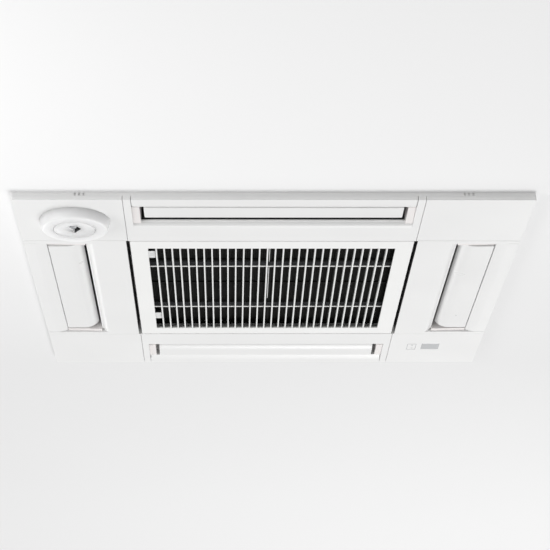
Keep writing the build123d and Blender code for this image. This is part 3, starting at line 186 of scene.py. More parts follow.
# %% [markdown]
# The room is a pale ceiling that ends just inside the edge of the panel, so that the panel's rim hides where
# it stops. Its lower side is painted, and seen from above it is clear, so that the steel case can be looked at
# as if the ceiling were lifted off. It is one flat face with an inset, whose middle is deleted.

# %% Ceiling with its cut-out
ROOM = 12.0
CUT_OUT = 0.6248
ceiling = plane("ceiling", (0, 0, CEILING), (ROOM, ROOM))
edit(ceiling)
turn_over()
bpy.ops.mesh.inset(thickness=(ROOM - CUT_OUT) / 2)
bpy.ops.mesh.delete(type="FACE")
deselect()
print("ceiling faces:", len(ceiling.data.polygons))

# %% [markdown]
# Soft light fills a white room. Most of it comes from the world at a level where a colour renders about as it
# is written. Large lamps add the direction: they brighten what faces down, leave the near edge of the panel in
# light shade, and give the rounded edges something to reflect. One stands above, for the steel case.

# %% World and lamps
AMBIENT = 0.42
BACKGROUND = (0.80, 0.80, 0.80, 1)
world = bpy.data.worlds.new("room")
bpy.context.scene.world = world
world.use_nodes = True
tree = world.node_tree
tree.nodes.clear()
path = add(tree, "ShaderNodeLightPath")
lit = add(tree, "ShaderNodeBackground", Color=(1, 1, 1, 1), Strength=AMBIENT)
seen = add(tree, "ShaderNodeBackground", Color=BACKGROUND)
choose = [(path.outputs["Is Camera Ray"], "Fac"), (lit.outputs[0], 1), (seen.outputs[0], 2)]
mix = add(tree, "ShaderNodeMixShader", choose)
add(tree, "ShaderNodeOutputWorld", [(mix.outputs[0], "Surface")])


def lamp(name, at, aim, size, watts):
    """A square soft lamp that points at a spot and isn't seen by the camera."""
    data = bpy.data.lights.new(name, "AREA")
    data.size = size
    data.energy = watts
    obj = bpy.data.objects.new(name, data)
    obj.location = at
    obj.rotation_euler = (Vector(aim) - Vector(at)).to_track_quat("-Z", "Y").to_euler()
    obj.visible_camera = False
    bpy.context.scene.collection.objects.link(obj)
    return obj


PANEL_MIDDLE = (0, 0, FACE)
lamps = [
    lamp("room_below", (0.9, 1.9, -3.3), PANEL_MIDDLE, 2.5, 94),
    lamp("far_left", (-1.9, 4.0, -1.7), PANEL_MIDDLE, 1.6, 20),
    lamp("far_right", (1.9, 4.2, -1.7), PANEL_MIDDLE, 1.6, 10),
    lamp("near_left", (-2.5, -1.7, -1.2), PANEL_MIDDLE, 1.2, 10),
    lamp("close_left", (-0.95, -0.75, -0.55), (-0.2, -0.2, FACE), 0.5, 2.6),
    lamp("above", (0.8, -1.0, 3.0), (0, 0, 0), 2.0, 40),
]
print("lamps:", [obj.name for obj in lamps])

# %% [markdown]
# The finishes are made of four effects, and each is a node group that is built once: a slow drift of colour,
# the fine grain of a moulded surface, the crystal flakes of galvanised steel and the dust that lies on what
# faces up. Each puts out a colour, a mask or a height, and the shader itself stays in the material.


# %% Node group helpers
FLOAT, COLOUR = "NodeSocketFloat", "NodeSocketColor"


def new_group(name, inputs, outputs):
    """An empty shader group with its sockets, and its input and output nodes."""
    group = bpy.data.node_groups.new(name, "ShaderNodeTree")
    for label, kind, value in inputs:
        socket = group.interface.new_socket(name=label, in_out="INPUT", socket_type=kind)
        socket.default_value = value
    for label, kind in outputs:
        group.interface.new_socket(name=label, in_out="OUTPUT", socket_type=kind)
    return group, group.nodes.new("NodeGroupInput"), group.nodes.new("NodeGroupOutput")


def calc(tree, operation, *values):
    """What a Math node puts out. A number is set on its socket, and an output is linked to it."""
    node = add(tree, "ShaderNodeMath", operation=operation)
    for socket, value in zip(node.inputs, values):
        if isinstance(value, float):
            socket.default_value = value
        else:
            tree.links.new(value, socket)
    return node.outputs[0]


def noise(tree, links=(), **values):
    """Noise on the object's own coordinates."""
    place = add(tree, "ShaderNodeTexCoord")
    return add(tree, "ShaderNodeTexNoise", [(place.outputs["Object"], "Vector"), *links], **values)


def varied(tree, colour, mask, amount, gain):
    """A colour made lighter or darker by a mask's distance from its middle."""
    offset = calc(tree, "MULTIPLY", calc(tree, "SUBTRACT", mask, 0.5), amount)
    level = calc(tree, "MULTIPLY_ADD", offset, gain, 1.0)
    tint = add(tree, "ShaderNodeVectorMath", [(colour, 0), (level, "Scale")], operation="SCALE")
    return tint.outputs["Vector"]


# %% Colour drift
group, take, give = new_group(
    "colour_drift",
    [("Colour", COLOUR, (0.8, 0.8, 0.8, 1)), ("Scale", FLOAT, 6.0), ("Amount", FLOAT, 0.03)],
    [("Colour", COLOUR)],
)
cloud = noise(group, [(take.outputs["Scale"], "Scale")], Detail=4.0)
drifted = varied(group, take.outputs["Colour"], cloud.outputs["Fac"], take.outputs["Amount"], 2.0)
group.links.new(drifted, give.inputs["Colour"])
print("group:", group.name)

# %% Moulded grain
group, take, give = new_group(
    "moulded_grain", [("Scale", FLOAT, 900.0), ("Ripple", FLOAT, 0.25)], [("Height", FLOAT), ("Mask", FLOAT)]
)
fine = noise(group, [(take.outputs["Scale"], "Scale")], Detail=2.0)
slow = noise(group, Scale=14.0, Detail=1.0)
ripple = calc(group, "MULTIPLY", slow.outputs["Fac"], take.outputs["Ripple"])
group.links.new(calc(group, "ADD", fine.outputs["Fac"], ripple), give.inputs["Height"])
group.links.new(slow.outputs["Fac"], give.inputs["Mask"])
print("group:", group.name)

# %% Galvanised flakes
group, take, give = new_group(
    "zinc_flakes",
    [("Colour", COLOUR, (0.66, 0.68, 0.7, 1)), ("Scale", FLOAT, 90.0), ("Contrast", FLOAT, 0.18)],
    [("Colour", COLOUR), ("Mask", FLOAT)],
)
place = add(group, "ShaderNodeTexCoord")
warp = noise(group, Scale=60.0, Detail=2.0)
pull = add(group, "ShaderNodeVectorMath", [(warp.outputs["Color"], 0)], operation="SCALE", Scale=0.006)
moved = add(
    group, "ShaderNodeVectorMath", [(place.outputs["Object"], 0), (pull.outputs["Vector"], 1)], operation="ADD"
)
cells = add(group, "ShaderNodeTexVoronoi", [(moved.outputs["Vector"], "Vector"), (take.outputs["Scale"], "Scale")])
value = add(group, "ShaderNodeSeparateColor", [(cells.outputs["Color"], "Color")])
flaked = varied(group, take.outputs["Colour"], value.outputs[0], take.outputs["Contrast"], 1.0)
group.links.new(flaked, give.inputs["Colour"])
group.links.new(value.outputs[1], give.inputs["Mask"])
print("group:", group.name)

# %% Dust on what faces up
group, take, give = new_group(
    "settled_dust",
    [("Colour", COLOUR, (0.6, 0.6, 0.6, 1)), ("Amount", FLOAT, 0.3)],
    [("Colour", COLOUR), ("Mask", FLOAT)],
)
shape = add(group, "ShaderNodeNewGeometry")
facing = add(group, "ShaderNodeSeparateXYZ", [(shape.outputs["Normal"], 0)])
ledge = add(group, "ShaderNodeMapRange", [(facing.outputs["Z"], "Value")], From_Min=0.6, From_Max=1.0)
patch = noise(group, Scale=18.0, Detail=5.0)
both = calc(group, "MULTIPLY", ledge.outputs[0], patch.outputs["Fac"])
mask = calc(group, "MULTIPLY", both, take.outputs["Amount"])
dusty = add(group, "ShaderNodeMix", [(mask, "Factor"), (take.outputs["Colour"], 6)], data_type="RGBA")
dusty.inputs[7].default_value = (0.62, 0.6, 0.56, 1)
group.links.new(dusty.outputs[2], give.inputs["Colour"])
group.links.new(mask, give.inputs["Mask"])
print("group:", group.name)

# %% [markdown]
# A finish is a small recipe: a base colour that drifts a little, a roughness that varies round its value, and
# a height for the bump. Each recipe is one call, so that all finishes are made the same way, and only their
# values differ.


# %% Finish helpers
def use_group(tree, name, links=(), **values):
    """One of the node groups above, used in a tree."""
    return add(tree, "ShaderNodeGroup", links, node_tree=bpy.data.node_groups[name], **values)


def finish(name, colour, rough, metal=0.0, drift=(6.0, 0.03), grain=(900.0, 0.25), bump=(0.1, 0.0001),
           flakes=None, dust=0.0, **sockets):
    """A material: base colour with drift, flakes and dust, varying roughness and a fine bump."""
    made = bpy.data.materials.new(name)
    made.use_nodes = True
    tree = made.node_tree
    tree.nodes.clear()
    skin = use_group(tree, "moulded_grain", Scale=grain[0], Ripple=grain[1])
    base = use_group(tree, "colour_drift", Colour=(*colour, 1), Scale=drift[0], Amount=drift[1])
    source, rough_mask = base.outputs["Colour"], skin.outputs["Mask"]
    if flakes:
        zinc = use_group(tree, "zinc_flakes", [(source, "Colour")], Scale=flakes[0], Contrast=flakes[1])
        source, rough_mask = zinc.outputs["Colour"], zinc.outputs["Mask"]
    if dust:
        source = use_group(tree, "settled_dust", [(source, "Colour")], Amount=dust).outputs["Colour"]
    vary = add(
        tree, "ShaderNodeMapRange", [(rough_mask, "Value")],
        To_Min=max(rough - ROUGH_SPREAD, 0.02), To_Max=min(rough + ROUGH_SPREAD, 1.0),
    )
    relief = add(tree, "ShaderNodeBump", [(skin.outputs["Height"], "Height")], Strength=bump[0], Distance=bump[1])
    links = [(source, "Base Color"), (vary.outputs[0], "Roughness"), (relief.outputs["Normal"], "Normal")]
    shader = add(tree, "ShaderNodeBsdfPrincipled", links, Metallic=metal, **sockets)
    add(tree, "ShaderNodeOutputMaterial", [(shader.outputs[0], "Surface")])
    FINISHES[name] = made


FINISHES = {}
ROUGH_SPREAD = 0.06

# %% White plastics of the panel
PANEL = (0.83, 0.83, 0.825)
finish("panel_white", PANEL, 0.38, grain=(700.0, 0.3), bump=(0.12, 0.0001))
finish("vane_white", (0.84, 0.84, 0.835), 0.30, grain=(600.0, 0.2), bump=(0.08, 0.0001))
finish("block_plastic", (0.80, 0.77, 0.76), 0.5)
finish("grille_white", (0.87, 0.87, 0.86), 0.40, grain=(700.0, 0.3), bump=(0.12, 0.0001))
finish("sensor_white", (0.95, 0.95, 0.955), 0.34, bump=(0.08, 0.0001),
       Subsurface_Weight=0.8, Subsurface_Radius=(1, 1, 1), Subsurface_Scale=0.022)
finish("latch_grey", (0.90, 0.90, 0.90), 0.45, bump=(0.12, 0.0001))
finish("lens_black", (0.30, 0.31, 0.32), 0.16, drift=(40.0, 0.05), bump=(0.03, 0.0001), Coat_Weight=0.5)
finish("window_grey", (0.54, 0.55, 0.56), 0.22, drift=(30.0, 0.04), bump=(0.04, 0.0001))
finish("lamp_green", (0.62, 0.66, 0.63), 0.25, drift=(60.0, 0.05), bump=(0.03, 0.0001))
finish("filter_net", (0.012, 0.012, 0.011), 0.8, drift=(40.0, 0.2), grain=(2600.0, 0.1), bump=(0.5, 0.0003),
       Specular_IOR_Level=0.1)
print("white and dark plastics:", len(FINISHES))

# %% Finishes of the body above the ceiling
finish("galvanised", (0.62, 0.64, 0.66), 0.42, 0.9, flakes=(75.0, 0.22), dust=0.35)
finish("screw_steel", (0.56, 0.57, 0.6), 0.3, 0.95, drift=(120.0, 0.1))
finish("foam_white", (0.86, 0.86, 0.84), 0.85, drift=(30.0, 0.05), grain=(260.0, 0.4), bump=(0.7, 0.0006))
finish("foam_black", (0.025, 0.025, 0.026), 0.9, drift=(60.0, 0.3), grain=(500.0, 0.4), bump=(0.8, 0.0006),
       Specular_IOR_Level=0.15)
finish("fan_grey", (0.17, 0.175, 0.185), 0.55, drift=(12.0, 0.1), bump=(0.25, 0.0002))
finish("mouth_black", (0.03, 0.03, 0.032), 0.5, drift=(12.0, 0.2), bump=(0.25, 0.0002))
finish("motor_metal", (0.58, 0.58, 0.6), 0.36, 0.9, drift=(30.0, 0.08))
finish("rubber_black", (0.035, 0.035, 0.036), 0.75, drift=(40.0, 0.25), bump=(0.35, 0.0003))
finish("fin_aluminium", (0.72, 0.74, 0.77), 0.32, 0.9, drift=(20.0, 0.08))
finish("copper", (0.72, 0.38, 0.24), 0.32, 1.0, drift=(45.0, 0.16))
finish("brass", (0.76, 0.58, 0.28), 0.28, 1.0, drift=(70.0, 0.12), bump=(0.08, 0.0001))
finish("pump_white", (0.82, 0.82, 0.80), 0.42, dust=0.2)
finish("hose_grey", (0.42, 0.43, 0.44), 0.6, drift=(40.0, 0.08), bump=(0.3, 0.0002))
finish("spigot_grey", (0.33, 0.34, 0.36), 0.45, drift=(30.0, 0.06))
finish("board_green", (0.035, 0.16, 0.07), 0.35, drift=(80.0, 0.25), grain=(1500.0, 0.2))
finish("terminal_black", (0.03, 0.03, 0.03), 0.5, drift=(60.0, 0.2))
for part in frame["record"]["subparts"]:
    node = frame["nodes"][part["node"]]
    node.data.materials.clear()
    node.data.materials.append(FINISHES[part["material_slot"]])
print("finishes:", len(FINISHES))

# %% Ceiling paint with painted shade towards the far side, clear from above
paint = bpy.data.materials.new("ceiling_paint")
paint.use_nodes = True
tree = paint.node_tree
shader = tree.nodes["Principled BSDF"]
out = tree.nodes["Material Output"]
place = add(tree, "ShaderNodeTexCoord")
along = add(tree, "ShaderNodeSeparateXYZ", [(place.outputs["Object"], 0)])
# The paint is lighter near the camera and darker towards the far side: painted shade, for the light falling off
# across the ceiling.
painted_light_fade = add(tree, "ShaderNodeMapRange", [(along.outputs["Y"], "Value")], From_Min=-1.0, From_Max=2.0)
grey = add(tree, "ShaderNodeValToRGB", [(painted_light_fade.outputs[0], "Fac")])
PAINTED_SHADE_STEPS = ((0.08, 0.93), (0.22, 0.91), (0.33, 0.83), (0.45, 0.765), (0.9, 0.735))
for stop, (at, value) in enumerate(PAINTED_SHADE_STEPS):
    point = grey.color_ramp.elements[stop] if stop < 2 else grey.color_ramp.elements.new(at)
    point.position = at
    point.color = (value, value, value, 1)
drift = use_group(tree, "colour_drift", [(grey.outputs["Color"], "Colour")], Scale=1.5, Amount=0.01)
tree.links.new(drift.outputs["Colour"], shader.inputs["Base Color"])
shader.inputs["Roughness"].default_value = 0.9
clear = add(tree, "ShaderNodeBsdfTransparent")
side = add(tree, "ShaderNodeNewGeometry")
choose = [(side.outputs["Backfacing"], "Fac"), (shader.outputs[0], 1), (clear.outputs[0], 2)]
swap = add(tree, "ShaderNodeMixShader", choose)
tree.links.new(swap.outputs[0], out.inputs["Surface"])
ceiling.data.materials.append(paint)
print("ceiling painted")

# %% [markdown]
# Most of the hard parts are moulded or pressed, and their real edges are never quite sharp: a small rounding
# catches the light and makes each seam read as a soft line. Such a piece keeps its measured shape. A copy of
# its mesh is merged, its flat faces are cleaned, its edges are rounded, and it takes the node's place.

# %% Rounded copies of measured nodes
SLOT_OF = {part["node"]: part["material_slot"] for part in frame["record"]["subparts"]}
BODY_OF = {node: body for body, nodes in frame["record"]["behaviour"]["bodies"].items() for node in nodes}


def replace_node(piece, *nodes):
    """The piece stands for these nodes: it rides on their body and takes the first one's finish."""
    slot = SLOT_OF[nodes[0]]
    piece.data.materials.clear()
    piece.data.materials.append(FINISHES[slot])
    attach(piece, BODY_OF[nodes[0]])
    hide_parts(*nodes)
    return piece


def extra(piece, slot, body):
    """A piece that only the scene has: its finish, and the body that it rides on."""
    piece.data.materials.clear()
    piece.data.materials.append(FINISHES[slot])
    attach(piece, body)


def round_edges(piece, width, segments=2, angle=30):
    """A Bevel on every sharp edge, with smooth shading that leaves the flat faces flat."""
    modify(
        piece, "BEVEL", width=width * MM, segments=segments, limit_method="ANGLE",
        angle_limit=math.radians(angle), use_clamp_overlap=False, loop_slide=False,
    )
    shade(piece, 40)
    return modify(piece, "WEIGHTED_NORMAL", keep_sharp=True)


def copy_of(node, name, cuts=()):
    """A copy of a node's mesh with merged points and clean flat faces, which planes through its holes part."""
    piece = bpy.data.objects.new(name, frame["nodes"][node].data.copy())
    bpy.context.scene.collection.objects.link(piece)
    edit(piece, "EDGE")
    select_all()
    bpy.ops.mesh.remove_doubles(threshold=0.002 * MM)
    low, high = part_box(node)
    middle = (low + high) / 2
    for axis, value in [(0, middle.x), (1, middle.y), *cuts]:
        select_all()
        normal = [float(k == axis) for k in range(3)]
        bpy.ops.mesh.bisect(plane_co=[value * part for part in normal], plane_no=normal)
        bpy.ops.mesh.mark_seam()
    select_all()
    bpy.ops.mesh.dissolve_limited(angle_limit=math.radians(0.5), delimit={"SEAM"})
    deselect()
    return piece


def dress(node, width, cuts=()):
    """A copy with rounded edges that stands for the node."""
    return replace_node(round_edges(copy_of(node, node + "_finished", cuts), width), node)


# %% [markdown]
# The corner covers and the side trims make up most of the panel's face. Their edges are rounded by less than
# half a millimetre, which is what draws the fine seams between them. The frame is cut in thought through the
# middle of the small pry notches in its sides, so that no flat face of the copy has a hole in it.

# %% Panel frame, covers and trims
COVERS = ("receiver", "far_left", "sensor", "near_right")
TRIMS = ("right", "far", "left", "near")
ROUNDED = {
    "panel_frame": 0.085, **{"corner_cover_" + name: 0.4 for name in COVERS},
    **{"side_trim_" + name: 0.35 for name in TRIMS}, "latch_guides": 0.3, "vane_bearing_blocks": 0.5,
}
NOTCH_EDGES = (0.2268, 0.2320, 0.2372)
NOTCHES = [(axis, side * at) for axis in (0, 1) for side in (-1, 1) for at in NOTCH_EDGES]
for node, width in ROUNDED.items():
    dress(node, width, cuts=NOTCHES if node == "panel_frame" else ())
print("rounded panel pieces:", len(ROUNDED))

# %% [markdown]
# An air vane is one long moulding: a flat blade that curls up along its inner edge round the pivot line. By
# hand it starts as a flat strip. The inner edge is spun through the curl about the pivot, the strip is given
# its wall, and its rim is rounded. It is modelled once, for the right side, and turned for the other three.


# %% Selecting by place, joining and repeating
def select_where(piece, kind, test):
    """Selects in edit mode the vertices or faces whose place passes the test, or the edges whose ends do."""
    bpy.ops.object.mode_set(mode="OBJECT")
    mesh = piece.data
    items, places = {
        "VERT": (mesh.vertices, lambda vertex: (vertex.co,)),
        "EDGE": (mesh.edges, lambda edge: (mesh.vertices[i].co for i in edge.vertices)),
        "FACE": (mesh.polygons, lambda face: (face.center, face.normal)),
    }[kind]
    for item in items:
        item.select = test(*places(item))
    bpy.ops.object.mode_set(mode="EDIT")


def join(pieces, name):
    """Several objects made into one."""
    deselect()
    for piece in pieces:
        piece.select_set(True)
    bpy.context.view_layer.objects.active = pieces[0]
    bpy.ops.object.join()
    made = bpy.context.object
    made.name = name
    return settle(made)


def assemble(node, pieces):
    """Several objects made into the one that stands for the node."""
    return replace_node(join(pieces, node + "_finished"), node)


def repeat(piece, name, degrees=0, move=(0, 0, 0), towards=None):
    """A copy with its own mesh, moved, and turned about the middle of the unit or from +Z to face a way."""
    pick(piece)
    bpy.ops.object.duplicate()
    twin = bpy.context.object
    twin.name = name
    twin.rotation_euler.z = math.radians(degrees)
    if towards is not None:
        twin.rotation_euler = towards.to_track_quat("Z", "Y").to_euler()
    twin.location = move
    return settle(twin)


def solidify(piece, thickness, offset):
    """A sheet given its wall."""
    return modify(piece, "SOLIDIFY", thickness=thickness, offset=offset)


# %% One vane's blade
VANE_HALF, VANE_T, VANE_R, VANE_CURL = 0.157, 0.003, 0.0227, 57.9
VANE_BEND, VANE_TIP, VANE_LOW = 0.258, 0.283, FACE + 0.0018
PIVOT_Z = VANE_LOW + VANE_R
NEAR = 1e-5  # metres within which two points count as one
blade = plane("blade", ((VANE_BEND + VANE_TIP) / 2, 0, VANE_LOW), (VANE_TIP - VANE_BEND, 2 * VANE_HALF))
edit(blade, "EDGE")
select_where(blade, "EDGE", lambda a, b: abs(a.x - VANE_BEND) < NEAR and abs(b.x - VANE_BEND) < NEAR)
bpy.ops.mesh.spin(
    steps=14, angle=-math.radians(VANE_CURL), center=(VANE_BEND, 0, PIVOT_Z), axis=(0, 1, 0)
)
select_all()
bpy.ops.mesh.remove_doubles(threshold=NEAR)
face_outward()
deselect()
if blade.data.polygons[0].normal.z > 0:
    edit(blade)
    turn_over()
    deselect()
low, high = min(v.co.x for v in blade.data.vertices), max(v.co.z for v in blade.data.vertices)
print("blade from x", round(low, 4), "up to z", round(high, 4))


# %% [markdown]
# The intake grille is one moulding: a plain border with a rim behind it, thirty thin ribs and two bars that
# cross behind them. The border starts as a flat square that is inset twice, for the rim's wall and for the
# slotted field, and gets its thickness as a wall. One rib is a bevelled bar that an Array repeats, so every
# rib is alike and evenly spaced.


# %% Bars and rows
def bar_between(name, low, high, bevel=0):
    """A bar between two corners, with its edges rounded by bevel mm."""
    deselect()
    low, high = Vector(low), Vector(high)
    bpy.ops.mesh.primitive_cube_add(size=1, location=(low + high) / 2)
    bar = bpy.context.object
    bar.scale = high - low
    bar.name = name
    settle(bar)
    return round_edges(bar, bevel) if bevel else bar


def row_of(piece, count, step):
    """The piece repeated count times in one mesh by an Array with a fixed step."""
    return modify(
        piece, "ARRAY", use_relative_offset=False, use_constant_offset=True,
        constant_offset_displace=step, count=count,
    )


def cut_away(piece, cutters):
    """Takes the cutters' shape out of the piece and removes them."""
    for cutter in cutters:
        modify(piece, "BOOLEAN", operation="DIFFERENCE", solver="EXACT", object=cutter)
        bpy.data.objects.remove(cutter, do_unlink=True)
    return piece


# %% Grille border and rim
GRILLE_X, GRILLE_Y, FIELD_X, FIELD_Y = 0.3576, 0.357, 0.314, 0.309
GRILLE_T, RIM_T, RIM_H, RIB_T, RIB_H, RIBS = 0.0022, 0.0025, 0.012, 0.0018, 0.006, 30
FIELD_INSET, CROSS_AT, HINGE_AT, LATCH_AT = 0.01, 0.078, 0.110, 0.118
border = plane("grille_border", (0, 0, FACE), (GRILLE_X, GRILLE_Y))
edit(border)
turn_over()
bpy.ops.mesh.inset(thickness=RIM_T)
bpy.ops.mesh.inset(thickness=FIELD_INSET)
inner_x, inner_y = (size - 2 * (RIM_T + FIELD_INSET) for size in (GRILLE_X, GRILLE_Y))
bpy.ops.transform.resize(value=(FIELD_X / inner_x, FIELD_Y / inner_y, 1), center_override=(0, 0, FACE))
bpy.ops.mesh.delete(type="FACE")
deselect()
solidify(border, GRILLE_T, -1)
edit(border)
rim_x, rim_y = GRILLE_X / 2 - RIM_T - NEAR, GRILLE_Y / 2 - RIM_T - NEAR
select_where(
    border, "FACE", lambda middle, normal: normal.z > 0.9 and (abs(middle.x) > rim_x or abs(middle.y) > rim_y)
)
bpy.ops.mesh.extrude_region_move(TRANSFORM_OT_translate={"value": (0, 0, RIM_H - GRILLE_T)})
edit(border)
for y in (-LATCH_AT, -HINGE_AT, 0, HINGE_AT, LATCH_AT):
    select_all()
    bpy.ops.mesh.bisect(plane_co=(0, y, 0), plane_no=(0, 1, 0))
deselect()

# %% Notches for the hinges and the latches
HINGE_NOTCH, TONGUE_Y, TONGUE_PLAY, PAST = 0.014, 0.012, 0.0002, 0.001
NOTCH_TOP, TONGUE_LOW, TONGUE_HIGH = FACE + 0.02, FACE + 0.0060, FACE + 0.0093
notches = []
for side in (-1, 1):
    y, reach = side * HINGE_AT, HINGE_NOTCH / 2
    low = (GRILLE_X / 2 - RIM_T - PAST, y - reach, FACE + GRILLE_T)
    notches.append(bar_between("notch", low, (GRILLE_X / 2 + PAST, y + reach, NOTCH_TOP)))
    y, reach = side * LATCH_AT, TONGUE_Y / 2 + TONGUE_PLAY
    low = (-GRILLE_X / 2 - PAST, y - reach, TONGUE_LOW)
    notches.append(bar_between("notch", low, (-GRILLE_X / 2 + RIM_T + PAST, y + reach, TONGUE_HIGH)))
cut_away(border, notches)
round_edges(border, 0.25)
print("border faces:", len(border.data.polygons))

# %% Ribs, cross bars and hinge pins
rib_pitch = FIELD_X / (RIBS + 1)
first = -FIELD_X / 2 + rib_pitch
rib = bar_between(
    "ribs", (first - RIB_T / 2, -FIELD_Y / 2 - PAST, FACE), (first + RIB_T / 2, FIELD_Y / 2 + PAST, FACE + RIB_H), 0.3
)
grille_pieces = [border, row_of(rib, RIBS, (rib_pitch, 0, 0))]
BAR_REACH, BAR_HALF, BAR_LOW, BAR_HIGH = GRILLE_X / 2 - 0.0012, 0.0015, FACE + 0.0051, FACE + 0.0061
for y in (-CROSS_AT, CROSS_AT):
    low, high = (-BAR_REACH, y - BAR_HALF, BAR_LOW), (BAR_REACH, y + BAR_HALF, BAR_HIGH)
    grille_pieces.append(bar_between("cross_bar", low, high, 0.25))
HINGE_R, HINGE_LONG, HINGE_X, HINGE_Z = 0.00125, HINGE_NOTCH + 0.002, GRILLE_X / 2 - 0.0013, FACE + 0.0053
for side in (-1, 1):
    pin = cylinder("pin", 24, HINGE_R, HINGE_LONG, (HINGE_X, side * HINGE_AT, HINGE_Z), "Y")
    grille_pieces.append(round_edges(pin, 0.3))
assemble("intake_grille", grille_pieces)
print("rib pitch in mm:", round(rib_pitch / MM, 2))

# %% The blade's wall, ends and pins
solidify(blade, VANE_T, -1)
round_edges(blade, 0.9, segments=3, angle=50)
ARM_AT, ARM_T, ARM_R, ARM_INTO = 0.151, 0.003, 0.006, 0.0005
PIN_R, PIN_LOW, PIN_HIGH = 0.003, -0.1705, 0.1805
arms = []
for side in (-1, 1):
    arm = cylinder("arm", 40, ARM_R, ARM_T, (VANE_BEND, side * (ARM_AT + ARM_T / 2), PIVOT_Z), "Y")
    edit(arm)
    select_where(arm, "VERT", lambda co: co.z < PIVOT_Z - ARM_R * 0.8)
    bpy.ops.transform.translate(value=(0, 0, VANE_LOW + VANE_T - PIVOT_Z + ARM_R - ARM_INTO))
    arms.append(round_edges(arm, 0.3))
for start, end in ((PIN_LOW, -ARM_AT), (ARM_AT, PIN_HIGH)):
    pin = cylinder("pin", 32, PIN_R, end - start, (VANE_BEND, (start + end) / 2, PIVOT_Z), "Y")
    arms.append(round_edges(pin, 0.4))
vane = join([blade, *arms], "vane_right_finished")
SIDES = {"right": 0, "far": 90, "left": 180, "near": 270}
vanes = {"right": vane}
for side in ("far", "left", "near"):
    vanes[side] = repeat(vane, f"vane_{side}_finished", SIDES[side])
for side, piece in vanes.items():
    replace_node(piece, f"vane_{side}")
    cad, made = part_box(f"vane_{side}"), [Vector(c) for c in piece.bound_box]
    print(side, "vane height", round(cad[0].z, 4), round(min(c.z for c in made), 4))

# %% [markdown]
# Behind each vane the outlet's inner wall carries a dark strip, painted shade for the dark gap behind the vane.
# Only its lower edge shows, as a black line under the vane. It is a thin strip that hangs on the flat part of
# that wall.

# %% Painted shade on the inner wall of each outlet
WALL_AT, SHADE_STRIP_T, SHADE_STRIP_LOW, SHADE_STRIP_HIGH, SHADE_STRIP_HALF = 0.235, 0.0003, 0.0068, 0.033, 0.1618
shade_strip = bar_between(
    "outlet_shade_strip_right", (WALL_AT, -SHADE_STRIP_HALF, FACE + SHADE_STRIP_LOW), (WALL_AT + SHADE_STRIP_T, SHADE_STRIP_HALF, FACE + SHADE_STRIP_HIGH), 0.1
)
shade_strips = [shade_strip] + [repeat(shade_strip, f"outlet_shade_strip_{side}", degrees) for side, degrees in SIDES.items() if degrees]
# Black finish: painted shade for the dark gap between each vane and the wall.
for piece in shade_strips:
    extra(piece, "foam_black", "unit")
print("felt strips:", len(shade_strips))

# %% [markdown]
# The gap beside the grille is dark with shade, and this shade is painted: the well's wall behind it wears a thin
# black sheet. It is a flat strip on the left and on the right wall.

# %% Painted shade in the gaps beside the grille
WELL_X, GAP_SHADE_T, GAP_SHADE_HALF = 0.1834, 0.0002, 0.174
GAP_SHADE_LOW, GAP_SHADE_HIGH = FACE + 0.0012, FACE + 0.0215
for name, side in (("well_seal_left", -1), ("well_seal_right", 1)):
    low_x, high_x = sorted((side * WELL_X, side * (WELL_X - GAP_SHADE_T)))
    gap_shade = bar_between(name, (low_x, -GAP_SHADE_HALF, GAP_SHADE_LOW), (high_x, GAP_SHADE_HALF, GAP_SHADE_HIGH), 0.05)
    # Black finish: painted shade for the dark gap beside the grille.
    extra(gap_shade, "foam_black", "unit")
print("gap shade strips at x:", -WELL_X, WELL_X)

# %% [markdown]
# The sensor is a turned shape: a round housing with a soft lower edge, and in it a flat disc that turns. A
# turned part is drawn as a circle that is extruded and scaled from one point of its profile to the next, so
# one helper makes every round part here, from the sensor to the drain spigot.


# %% Turned parts
def lathe(name, profile, at=(0, 0), segments=96, axis="Z"):
    """A ring or a solid of a profile of (radius, height) points in mm, round an upright axis, or along X."""
    deselect()
    radius, height = profile[0]
    bpy.ops.mesh.primitive_circle_add(vertices=segments, radius=radius * MM, location=(0, 0, height * MM))
    made = settle(bpy.context.object)
    made.name = name
    edit(made, "VERT")
    select_all()
    for (r0, h0), (r1, h1) in zip(profile, profile[1:]):
        bpy.ops.mesh.extrude_region()
        bpy.ops.transform.resize(value=(r1 / r0, r1 / r0, 1), center_override=(0, 0, h0 * MM))
        bpy.ops.transform.translate(value=(0, 0, (h1 - h0) * MM))
    select_all()
    bpy.ops.mesh.remove_doubles(threshold=0.0005 * MM)
    bpy.ops.mesh.select_all(action="DESELECT")
    bpy.ops.mesh.select_non_manifold()
    bpy.ops.mesh.edge_face_add()
    face_outward()
    deselect()
    if axis == "X":
        made.rotation_euler = (0, math.radians(-90), 0)
    made.location = at if len(at) == 3 else (*at, 0)
    shade(settle(made), 35)
    return made


def arc(r_mid, h_mid, radius, start, end, steps):
    """Points of a rounding, for a turned profile."""
    angles = [math.radians(start + (end - start) * k / steps) for k in range(steps + 1)]
    return [(r_mid + radius * math.cos(a), h_mid + radius * math.sin(a)) for a in angles]


# %% Sensor housing
SENSOR_AT = (-0.242, -0.2465)
H = FACE / MM  # height of the face in mm, from which the turned profiles are counted
DROP, HOUSING_R, HOUSING_LOW_R, HOUSING_ROUND, BORE_R = 12.3, 43.0, 40.0, 3.4, 26.0
lean = math.degrees(math.atan((HOUSING_R - HOUSING_LOW_R) / DROP))
profile = [(BORE_R + 0.4, H - DROP)]
profile += arc(HOUSING_LOW_R - HOUSING_ROUND + 0.5, H - DROP + HOUSING_ROUND, HOUSING_ROUND, -90, -lean, 8)
SEAT_R, SEAT_H = 46.0, H + 4.5
profile += [(HOUSING_R, H), (HOUSING_R, H + 2), (SEAT_R, H + 2), (SEAT_R, SEAT_H), (BORE_R, SEAT_H)]
profile.append((BORE_R, H - DROP + 0.4))
profile.append(profile[0])
replace_node(lathe("sensor_ring_finished", profile, SENSOR_AT), "sensor_ring")
print("sensor housing points in its profile:", len(profile))
